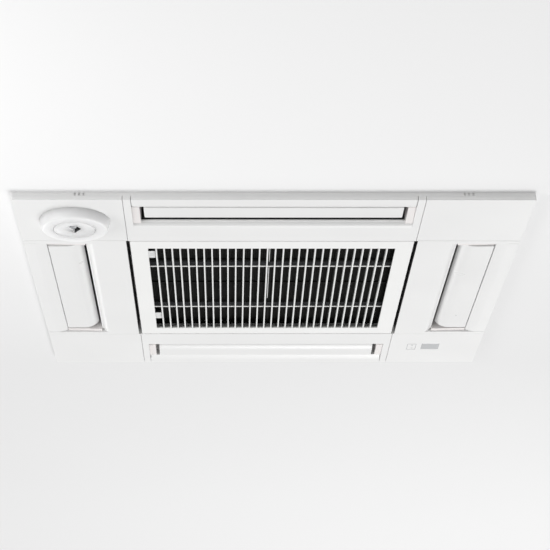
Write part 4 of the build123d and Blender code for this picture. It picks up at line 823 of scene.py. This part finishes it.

# %% [markdown]
# The disc in the housing turns with the eye. Its pocket has five corners and a floor that slopes from nothing
# on the left to full depth on the right. The pocket is drawn as a block whose upper points are lifted to the
# slope, and is taken out of the turned disc. The deep end is lined in black: painted shade, for the dark void
# behind the eye.

# %% Sensor disc with its pocket
POCKET = ((-14.2, -3.5), (-6.3, -15.5), (3.9, -12.0), (8.4, -4.3), (-1.7, 11.0))
POCKET_DEEP = 7.0
head_low = H - DROP
DISC_R, BOSS_R = 25.0, 3.0  # mm
profile = [(0.05, head_low), (24.4, head_low), (24.85, head_low + 0.25), (DISC_R, head_low + 0.8)]
profile += [(DISC_R, head_low + 9), (BOSS_R, head_low + 9), (BOSS_R, H + 13.5), (0.05, H + 13.5)]
disc = lathe("sensor_head_finished", profile, SENSOR_AT)


def pocket_block(name):
    """The pocket's shape as a closed block that stands a little out of the disc."""
    deselect()
    bpy.ops.mesh.primitive_circle_add(vertices=5, radius=0.01, fill_type="NGON", location=(0, 0, 0))
    block = settle(bpy.context.object)
    block.name = name
    order = sorted(range(5), key=lambda i: math.atan2(block.data.vertices[i].co.y, block.data.vertices[i].co.x))
    corners = sorted(POCKET, key=lambda c: math.atan2(c[1], c[0]))
    for index, (x, y) in zip(order, corners):
        block.data.vertices[index].co = (SENSOR_AT[0] + x * MM, SENSOR_AT[1] + y * MM, (head_low - 1) * MM)
    edit(block)
    select_all()
    bpy.ops.mesh.extrude_region_move(TRANSFORM_OT_translate={"value": (0, 0, 1 * MM)})
    deselect()
    left = min(x for x, y in POCKET)
    span = max(x for x, y in POCKET) - left
    for vertex in block.data.vertices:
        if vertex.co.z > (head_low - 0.5) * MM:
            way = ((vertex.co.x - SENSOR_AT[0]) / MM - left) / span
            vertex.co.z = (head_low + POCKET_DEEP * way + 0.02) * MM
    edit(block)
    face_outward()
    deselect()
    return block


shade_liner = pocket_block("eye_liner")
cut_away(disc, [pocket_block("pocket")])
shade(disc, 30)
replace_node(disc, "sensor_head")
print("disc faces:", len(disc.data.polygons))

# %% Painted shade lining the eye's pocket, and lens
edit(shade_liner)
SHADE_LINER_CUTS = ((SENSOR_AT[0] - 0.0005, 0, 0), (1, 0, 0)), ((0, 0, (head_low + 0.25) * MM), (0, 0, 1))
for point, normal in SHADE_LINER_CUTS:
    select_all()
    bpy.ops.mesh.bisect(plane_co=point, plane_no=normal, clear_inner=True)
turn_over()
deselect()
solidify(shade_liner, 0.15 * MM, 1)
# The black lining is painted shade for the dark void behind the eye.
extra(shade_liner, "mouth_black", BODY_OF["sensor_head"])
profile = [(0.05, H - 11.1), (2.0, H - 11.0), (3.6, H - 10.7), (4.3, H - 10.2), (4.45, H - 9.6)]
profile += [(4.45, H - 5.3), (0.05, H - 5.3)]
lens = lathe("sensor_lens_finished", profile, (SENSOR_AT[0] - 0.0015, SENSOR_AT[1] - 0.004), 40)
replace_node(lens, "sensor_lens")
print("liner faces:", len(shade_liner.data.polygons))

# %% [markdown]
# The receiver window is a smoked pane. A cube of its size gets a border by inset, and the inset face is moved
# in. A second inset is moved back by as much, which leaves a fine groove round the middle to catch the light.

# %% Receiver window
window = bar_between("receiver_window_finished", *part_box("receiver_window"))
edit(window)
select_where(window, "FACE", lambda middle, normal: normal.z < -0.9)
GROOVE = 0.25 * MM
for inset, lift in ((1.2, GROOVE), (0.5, -GROOVE)):
    bpy.ops.mesh.inset(thickness=inset * MM)
    bpy.ops.transform.translate(value=(0, 0, lift))
deselect()
round_edges(window, 0.12)
replace_node(window, "receiver_window")
print("window faces:", len(window.data.polygons))

# %% [markdown]
# A fine raised line frames the two lamps, in place of a printed one. It is a flat rectangle that is inset
# once, its middle deleted and the frame given a thin wall.

# %% Frame round the lamps
FIELD_AT, FIELD_SIZE, LINE_W, LINE_T = (0.2135, 0.2395), (0.013, 0.025), 0.0006, 0.00025
field = plane("lamp_field_line", (*FIELD_AT, FACE), FIELD_SIZE)
edit(field)
select_all()
bpy.ops.mesh.inset(thickness=LINE_W)
bpy.ops.mesh.delete(type="FACE")
deselect()
solidify(field, LINE_T, -1)
extra(field, "window_grey", "unit")
print("lamp frame at", FIELD_AT)

# %% Indicator lamps
lamp_low, lamp_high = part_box("indicator_lamps")
lamp_profile = [(0.02, H + 0.15), (0.9, H + 0.2), (1.35, H + 0.4), (1.57, H + 0.7), (1.57, H + 3.0), (0.02, H + 3.0)]
lamp_x, LAMP_IN = (lamp_low.x + lamp_high.x) / 2, 0.0016
lamp_pieces = [lathe("lamp", lamp_profile, (lamp_x, y), 24) for y in (lamp_low.y + LAMP_IN, lamp_high.y - LAMP_IN)]
assemble("indicator_lamps", lamp_pieces)
print("lamps at x:", round(lamp_x, 4))

# %% [markdown]
# Each latch is a small sliding plate. Its knob shows in the first slot of the grille and is moved with a
# finger, so three grip grooves are cut across it. The plate keeps its measured shape, and a groove is a bar
# that is taken out of it. The tongue's tip and the knob's side are covered in black: painted shade, for the
# dark gap round the tongue and the dark line along the knob.

# %% Latches with grip grooves
KNOB_X, GROOVE_PITCH, GROOVE_HALF, GROOVE_DEEP = (-0.157, -0.150), 5.0 * MM, 0.0006, 0.0005
TIP_FROM_X, TIP_HALF, SKIN, PAD_LONG = -0.1785, 0.00605, 0.0001, 0.009
for name in ("latch_near", "latch_far"):
    plate = copy_of(name, name + "_finished")
    low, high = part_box(name)
    middle_y = (low.y + high.y) / 2
    grooves = []
    for k in (-1, 0, 1):
        y = middle_y + GROOVE_PITCH * k
        groove_low = (KNOB_X[0], y - GROOVE_HALF, low.z - PAST)
        grooves.append(bar_between("groove", groove_low, (KNOB_X[1], y + GROOVE_HALF, low.z + GROOVE_DEEP)))
    replace_node(round_edges(cut_away(plate, grooves), 0.15), name)
    tip_low = (low.x - SKIN, middle_y - TIP_HALF, low.z - SKIN)
    tip = bar_between(name + "_tip", tip_low, (TIP_FROM_X, middle_y + TIP_HALF, high.z + SKIN), 0.2)
    pad_low = (high.x - PAD_LONG, low.y - 2 * SKIN, low.z + 2 * SKIN)
    pad = bar_between(name + "_pad_shade", pad_low, (high.x, low.y, high.z), 0.05)
    # The black tip and pad are painted shade, where the latch lies in the dark of its gap.
    for shade_cover in (tip, pad):
        extra(shade_cover, "rubber_black", BODY_OF[name])
print("latches made")

# %% [markdown]
# The filter behind the grille is a fine net in a frame. From below it only reads as darkness with a faint
# frame and the pale cord that ties it, but up close its threads show. One thread is a thin bar that an Array
# repeats across the frame, once in each direction. The frame's bars are bevelled, and narrow rests carry it on
# the grille's cross bars. The rests' dark grey is painted shade, for the upper sides of the cross bars that lie
# in the ribs' shadow.

# %% Filter frame and net
FILTER_X, FILTER_Y, FILTER_BAR, CELLS, CELL_HALF = 0.340, 0.336, 0.006, 4, 0.0015
low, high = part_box("air_filter")
filter_low, filter_high, net_z = low.z, high.z, (low.z + high.z) / 2
half_x, half_y = FILTER_X / 2, FILTER_Y / 2
IN_BAR = 0.005  # how far the inner bars and threads stop from the filter's edge, inside its outer bars
reach_x, reach_y = half_x - IN_BAR, half_y - IN_BAR


def filter_bar(low_x, high_x, low_y, high_y, bevel):
    """A bar of the filter's frame, over its full height."""
    return bar_between("bar", (low_x, low_y, filter_low), (high_x, high_y, filter_high), bevel)


bars = []
for side in (-1, 1):
    bars.append(filter_bar(*sorted((side * half_x, side * (half_x - FILTER_BAR))), -half_y, half_y, 0.5))
    edge = sorted((side * half_y, side * (half_y - FILTER_BAR)))
    bars.append(filter_bar(-half_x + 0.001, half_x - 0.001, *edge, 0.5))
for k in range(1, CELLS):
    x, y = -half_x + FILTER_X * k / CELLS, -half_y + FILTER_Y * k / CELLS
    bars.append(filter_bar(x - CELL_HALF, x + CELL_HALF, -reach_y, reach_y, 0.4))
    bars.append(filter_bar(-reach_x, reach_x, y - CELL_HALF, y + CELL_HALF, 0.4))
print("filter bars:", len(bars))

# %% Net threads
NET_PITCH, THREAD = 0.0021, 0.0009
count_x, count_y = (int((size - 2 * FILTER_BAR) / NET_PITCH) for size in (FILTER_X, FILTER_Y))
x, y = -count_x * NET_PITCH / 2, -count_y * NET_PITCH / 2
low, high = (x - THREAD / 2, -reach_y, net_z - THREAD / 4), (x + THREAD / 2, reach_y, net_z + THREAD / 4)
bars.append(row_of(bar_between("threads", low, high), count_x + 1, (NET_PITCH, 0, 0)))
low, high = (-reach_x, y - THREAD / 2, net_z), (reach_x, y + THREAD / 2, net_z + THREAD / 2)
bars.append(row_of(bar_between("threads", low, high), count_y + 1, (0, NET_PITCH, 0)))
assemble("air_filter", bars)
print("net threads:", count_x + count_y + 2)

# %% Rests in painted shade, and cord
REST_HALF, REST_LOW, REST_REACH = 0.00075, FACE + 0.0060, half_x - 0.002
CORD_X, CORD_Y, CORD_T = (-0.0023, -0.0013), (-0.165, 0.060), 0.0006
shaded_rests = []
for y in (-CROSS_AT, CROSS_AT):
    low, high = (-REST_REACH, y - REST_HALF, REST_LOW), (REST_REACH, y + REST_HALF, filter_low)
    shaded_rests.append(bar_between("rest", low, high, 0.2))
# Dark grey finish: painted shade for the cross bars' upper sides in the ribs' shadow.
extra(join(shaded_rests, "filter_shaded_rests"), "fan_grey", BODY_OF["intake_grille"])
low, high = (CORD_X[0], CORD_Y[0], filter_low - CORD_T), (CORD_X[1], CORD_Y[1], filter_low)
cord = bar_between("filter_cord", low, high, 0.15)
extra(cord, "grille_white", BODY_OF["air_filter"])
print("rests:", len(shaded_rests))

# %% [markdown]
# Above the ceiling sits the body: a case of galvanised sheet with foam inside, the fan in the middle and the
# finned coil round it. None of it shows from the room, but it shows from above, where the ceiling is clear. Most
# pieces keep their measured shape with rounded edges. Turned and bent ones only get smooth shading.


# %% Smooth copies and separate solids
def smooth(node):
    """A copy with smooth shading that stands for the node."""
    piece = copy_of(node, node + "_finished")
    shade(piece, 35)
    replace_node(piece, node)


def solids_of(node):
    """The lowest and highest corner of each separate solid of a node."""
    piece = copy_of(node, "solids")
    edit(piece)
    select_all()
    bpy.ops.mesh.separate(type="LOOSE")
    bpy.ops.object.mode_set(mode="OBJECT")
    boxes = []
    for part in list(bpy.context.selected_objects):
        corners = [Vector(c) for c in part.bound_box]
        boxes.append((Vector(map(min, zip(*corners))), Vector(map(max, zip(*corners)))))
        bpy.data.objects.remove(part, do_unlink=True)
    deselect()
    return boxes


for node in ("fan_wheel", "fan_shroud", "bellmouth", "gas_pipe", "liquid_pipe", "return_bends", "pump_impeller"):
    smooth(node)
BEVELLED = {
    "hanger_brackets": 0.4, "tube_plates": 0.3, "piping_cover": 0.3, "drain_pump": 0.3, "float_stem": 0.4,
    "drain_float": 0.8, "control_box": 0.2, "control_box_cover": 0.25, "terminal_block": 0.3, "cable_bush": 0.5,
    "vane_motors": 0.4, "sensor_motor": 0.3, "motor_mounts": 0.8, "fan_shaft": 0.25, "panel_screws": 0.4,
    "outlet_seals": 0.4, "duct_walls": 0.8, "drain_pan": 0.5, "drain_hose": 0.5,
}
for node, width in BEVELLED.items():
    dress(node, width)
print("bevelled body pieces:", len(BEVELLED))

# %% [markdown]
# Sheet steel this thin would drum, so the real case has beads pressed into it. One bead is a low bar with its
# edges rounded over. Eight of them fan out round the raised pad of the top, and each side sheet has two.

# %% Case sheets with pressed beads
SHEET_TOP, CASE_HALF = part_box("case_walls")[1].z + 0.001, 0.285
BEAD_H, BEAD_HALF, SUNK, SPOKE_X, SPOKE_HALF = 0.0012, 0.007, 0.0005, (0.138, 0.222), 0.006
top_pieces = [round_edges(copy_of("case_top", "top_sheet"), 0.35)]
low, high = (SPOKE_X[0], -SPOKE_HALF, SHEET_TOP - SUNK), (SPOKE_X[1], SPOKE_HALF, SHEET_TOP + BEAD_H)
spoke = bar_between("bead", low, high)
round_edges(spoke, 1.1, segments=3)
for k in range(8):
    top_pieces.append(repeat(spoke, "bead", 45 * k + 22.5))
bpy.data.objects.remove(spoke)
assemble("case_top", top_pieces)
wall_pieces = [copy_of("case_walls", "side_sheets")]
for height in (-0.035, 0.065):
    for side, degrees in SIDES.items():
        reach = 0.135 if side == "left" else 0.185
        low = (CASE_HALF - SUNK, -reach, height - BEAD_HALF)
        bead = bar_between("bead", low, (CASE_HALF + BEAD_H, reach, height + BEAD_HALF))
        round_edges(bead, 1.1, segments=3)
        wall_pieces.append(repeat(bead, "bead", degrees))
        bpy.data.objects.remove(bead)
print("beads:", len(top_pieces) - 1 + len(wall_pieces) - 1)
assemble("case_walls", wall_pieces)

# %% [markdown]
# Sheet screws have a domed head with a cross recess. One head is a short cylinder whose rim is lowered in two
# steps and whose recess is cut by two bars. Its copies stand where the measured heads stand.


# %% Screw heads
def screw_head(radius, height):
    """A domed head with a cross recess, standing on the ground and facing up."""
    head = cylinder("head", 24, radius, height, (0, 0, height / 2))
    edit(head)
    select_where(head, "FACE", lambda middle, normal: normal.z > 0.9)
    bpy.ops.mesh.inset(thickness=radius * 0.18)
    bpy.ops.mesh.inset(thickness=radius * 0.25)
    for outside, drop in ((0.9, 0.45), (0.7, 0.12)):
        edit(head, "VERT")
        select_where(head, "VERT", lambda co: co.z > height * 0.5 and co.xy.length > radius * outside)
        bpy.ops.transform.translate(value=(0, 0, -height * drop))
    wide, long = radius * 0.13, radius * 0.62
    recesses = ((long, wide), (wide, long))
    cut_away(head, [
        bar_between("recess", (-x, -y, height * 0.45), (x, y, height * 2)) for x, y in recesses
    ])
    shade(head, 45)
    return head


HEAD_R, HEAD_H, THIN = 0.004, 0.002, 0.003  # a head is thinner than THIN along the way it faces
head = screw_head(HEAD_R, HEAD_H)
heads = []
for low, high in solids_of("case_screws"):
    middle, size = (low + high) / 2, high - low
    towards = Vector((0, 0, 0))
    if size.y >= THIN:
        towards.x = math.copysign(1, middle.x)
    if size.x >= THIN:
        towards.y = math.copysign(1, middle.y)
    towards.normalize()
    heads.append(repeat(head, "head", move=middle - towards * HEAD_H / 2, towards=towards))
bpy.data.objects.remove(head)
assemble("case_screws", heads)
print("screw heads:", len(heads))

# %% [markdown]
# The coil is a pack of thin aluminium fins on copper tubes, bent round three corners. Its solid inside is one
# section that is extruded along each side and spun round each corner. One fin is a thin bar that an Array
# repeats along a side, and spin with copies fans it out round a corner.

# %% Coil core
COIL_OUT, COIL_IN, COIL_BEND, COIL_GAP, INSET = 0.224, 0.188, 0.164, 0.150, 0.004
CORE_END, FIN_END = COIL_GAP - 0.002, COIL_GAP - 0.001
coil_low, coil_high = (corner.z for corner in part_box("heat_exchanger"))
core = plane(
    "coil_core", (-(COIL_IN + COIL_OUT) / 2, CORE_END, (coil_low + coil_high) / 2),
    (COIL_OUT - COIL_IN - 2 * INSET, coil_high - coil_low - 2 * INSET), (math.radians(90), 0, 0),
)
edit(core, "EDGE")
select_all()
bpy.ops.mesh.delete(type="ONLY_FACE")
select_all()
turns = (
    ((0, -COIL_BEND - CORE_END, 0), (-COIL_BEND, -COIL_BEND, 0)),
    ((2 * COIL_BEND, 0, 0), (COIL_BEND, -COIL_BEND, 0)),
    ((0, 2 * COIL_BEND, 0), (COIL_BEND, COIL_BEND, 0)),
    ((-COIL_BEND - CORE_END, 0, 0), None),
)
for move, corner in turns:
    bpy.ops.mesh.extrude_region_move(TRANSFORM_OT_translate={"value": move})
    if corner:
        bpy.ops.mesh.spin(steps=10, angle=-math.pi / 2, center=corner, axis=(0, 0, 1))
select_all()
bpy.ops.mesh.remove_doubles(threshold=1e-6)
bpy.ops.mesh.select_all(action="DESELECT")
bpy.ops.mesh.select_non_manifold()
bpy.ops.mesh.fill()
face_outward()
deselect()
print("core from and to", *([round(v, 3) for v in core.bound_box[k]] for k in (0, 6)))

# %% Fins
FIN_PITCH, FIN_T = 0.003, 0.0006
RUNS = {
    "right": (-COIL_BEND, COIL_BEND), "far": (-COIL_BEND, FIN_END),
    "left": (-FIN_END, COIL_BEND), "near": (-COIL_BEND, COIL_BEND),
}
fin = bar_between("fin", (COIL_IN, -FIN_T / 2, coil_low), (COIL_OUT, FIN_T / 2, coil_high))
fins = []
for side, (start, end) in RUNS.items():
    count = int((end - start) / FIN_PITCH) + 1
    row = row_of(repeat(fin, "fins", move=(0, start, 0)), count, (0, (end - start) / (count - 1), 0))
    fins.append(repeat(row, "fins_" + side, SIDES[side]))
    bpy.data.objects.remove(row)
    if side != "far":
        fan = repeat(fin, "corner_fins", move=(0, COIL_BEND, 0))
        edit(fan)
        select_all()
        bpy.ops.mesh.spin(
            steps=22, dupli=True, angle=-math.pi / 2, center=(COIL_BEND, COIL_BEND, 0), axis=(0, 0, 1)
        )
        deselect()
        fins.append(repeat(fan, "corner_fins_" + side, SIDES[side]))
        bpy.data.objects.remove(fan)
bpy.data.objects.remove(fin)
coil = assemble("heat_exchanger", [core, *fins])
print("fins' faces:", len(coil.data.polygons))

# %% [markdown]
# The pipes end in brass flare unions: a hexagon to hold with a spanner and a thread for the site pipe's nut.
# A thread reads as a stack of fine ridges, so it is turned as rings, and the hexagon is a six-sided cylinder
# with its corners rounded over. The drain spigot is turned too, with the ribs that grip a hose.


# %% Flare unions
HEX_LONG, THREAD_STEP, GAS_R, LIQUID_R = 0.008, 1.25, 9.525, 5.556


def union(low, high, thread_r):
    """Hexagon and thread inside the box of a measured union, along X."""
    middle = (low + high) / 2
    across = min(high.z - low.z, high.y - low.y)
    hex_end = high.x - HEX_LONG
    at = (hex_end + HEX_LONG / 2, middle.y, middle.z)
    hexagon = cylinder("hexagon", 6, across / 2 / math.cos(math.radians(30)), HEX_LONG, at, "X")
    edit(hexagon)
    select_all()
    root = (hex_end, middle.y, middle.z)
    bpy.ops.transform.rotate(value=math.radians(30), orient_axis="X", center_override=root)
    deselect()
    round_edges(hexagon, 0.6)
    long = (hex_end - low.x) / MM
    thread = [(0.05, -1.0), (thread_r - 0.9, -1.0), (thread_r - 0.9, 0.8)]
    for k in range(int((long - 2.5) / THREAD_STEP)):
        thread += [(thread_r - cut, h + THREAD_STEP * k) for cut, h in ((0, 1.1), (0, 1.45), (0.7, 1.9))]
    thread += [(thread_r - 1.2, long), (thread_r * 0.55, long), (thread_r * 0.5, long - 6), (0.05, long - 6)]
    return [hexagon, lathe("thread", thread, root, 40, axis="X")]


unions = []
for low, high in solids_of("flare_unions"):
    unions += union(low, high, GAS_R if high.z - low.z > 0.020 else LIQUID_R)
print("union pieces:", len(unions))
assemble("flare_unions", unions)

# %% Drain spigot
SPIGOT_LONG, RIDGE_STEP = 29.0, 4.6
low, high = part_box("drain_spigot")
spigot = [(9.0, 0), (19.0, 0), (19.0, 1.4), (18.4, 2.0), (15.0, 2.0)]
for k in range(4):
    spigot += [(r, h + RIDGE_STEP * k) for r, h in ((14.6, 6.5), (16.0, 8.6), (15.9, 9.0), (14.6, 9.2))]
spigot += [(14.4, 28.4), (13.8, SPIGOT_LONG), (9.6, SPIGOT_LONG), (9.0, 28.5), (9.0, 0)]
spigot = [(r, h * (high.x - low.x) / MM / SPIGOT_LONG) for r, h in spigot]
at = (high.x, (low.y + high.y) / 2, (low.z + high.z) / 2)
replace_node(lathe("drain_spigot_finished", spigot, at, 56, axis="X"), "drain_spigot")
print("spigot from x", round(low.x, 4), "to", round(high.x, 4))

# %% [markdown]
# The fan motor's can keeps its measured shape, and cooling ribs are turned round it. The two circuit boards
# carry small parts, such as chips and connectors, as plain bars.

# %% Fan motor
RIB_R, RIB_ROUND, RIB_WIDE, RIB_FROM, RIB_STEP = 52.9, 0.5, 1.8, 0.014, 0.0055
low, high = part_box("fan_motor")
motor_base = round_edges(copy_of("fan_motor", "motor_can"), 0.5)
ribs = []
for k in range(5):
    z = (low.z + RIB_FROM + RIB_STEP * k) / MM
    profile = [(50.5, z), (52.3, z), (RIB_R, z + RIB_ROUND), (RIB_R, z + RIB_WIDE - RIB_ROUND)]
    profile += [(52.3, z + RIB_WIDE), (50.5, z + RIB_WIDE), (50.5, z)]
    ribs.append(lathe("rib", profile, segments=72))
can_r = max(v.co.xy.length for v in motor_base.data.vertices if v.co.z < low.z + 0.02)
print("motor can radius in mm:", round(can_r / MM, 2))
assemble("fan_motor", [motor_base, *ribs])


# %% Circuit boards
def board(node, seat, way, sunk, bevel, chips):
    """A board with its chips, up or down from a seat: x and y from its middle, two sides and height in mm."""
    low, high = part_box(node)
    made = [round_edges(copy_of(node, node + "_plate"), 0.15)]
    for x, y, size_x, size_y, tall in chips:
        x, y = (low.x + high.x) / 2 + x * MM, (low.y + high.y) / 2 + y * MM
        half_x, half_y = size_x / 2 * MM, size_y / 2 * MM
        low_z, high_z = sorted((seat - way * sunk, seat + way * tall * MM))
        made.append(bar_between("chip", (x - half_x, y - half_y, low_z), (x + half_x, y + half_y, high_z), bevel))
    assemble(node, made)


STANDOFF, BOARD_T = 0.0080, 0.0016
board("control_board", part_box("control_board")[1].z - STANDOFF - BOARD_T, -1, 0.0002, 0.25, (
    (-8, -48, 9, 7, 2.2), (7, -40, 6, 12, 2.0), (-9, -14, 7, 7, 1.6), (8, -10, 5, 9, 5.0),
    (-8, 12, 8, 10, 2.4), (8, 22, 6, 6, 1.8), (-9, 44, 6, 12, 6.0), (7, 50, 9, 6, 2.2),
))
board("signal_board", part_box("signal_board")[1].z, 1, 0.0003, 0.2, (
    (-20, 10, 7, 7, 1.4), (-20, -8, 5, 8, 3.0), (-8, -12, 6, 4, 1.2), (22, -12, 4, 6, 1.2),
))
print("boards made")
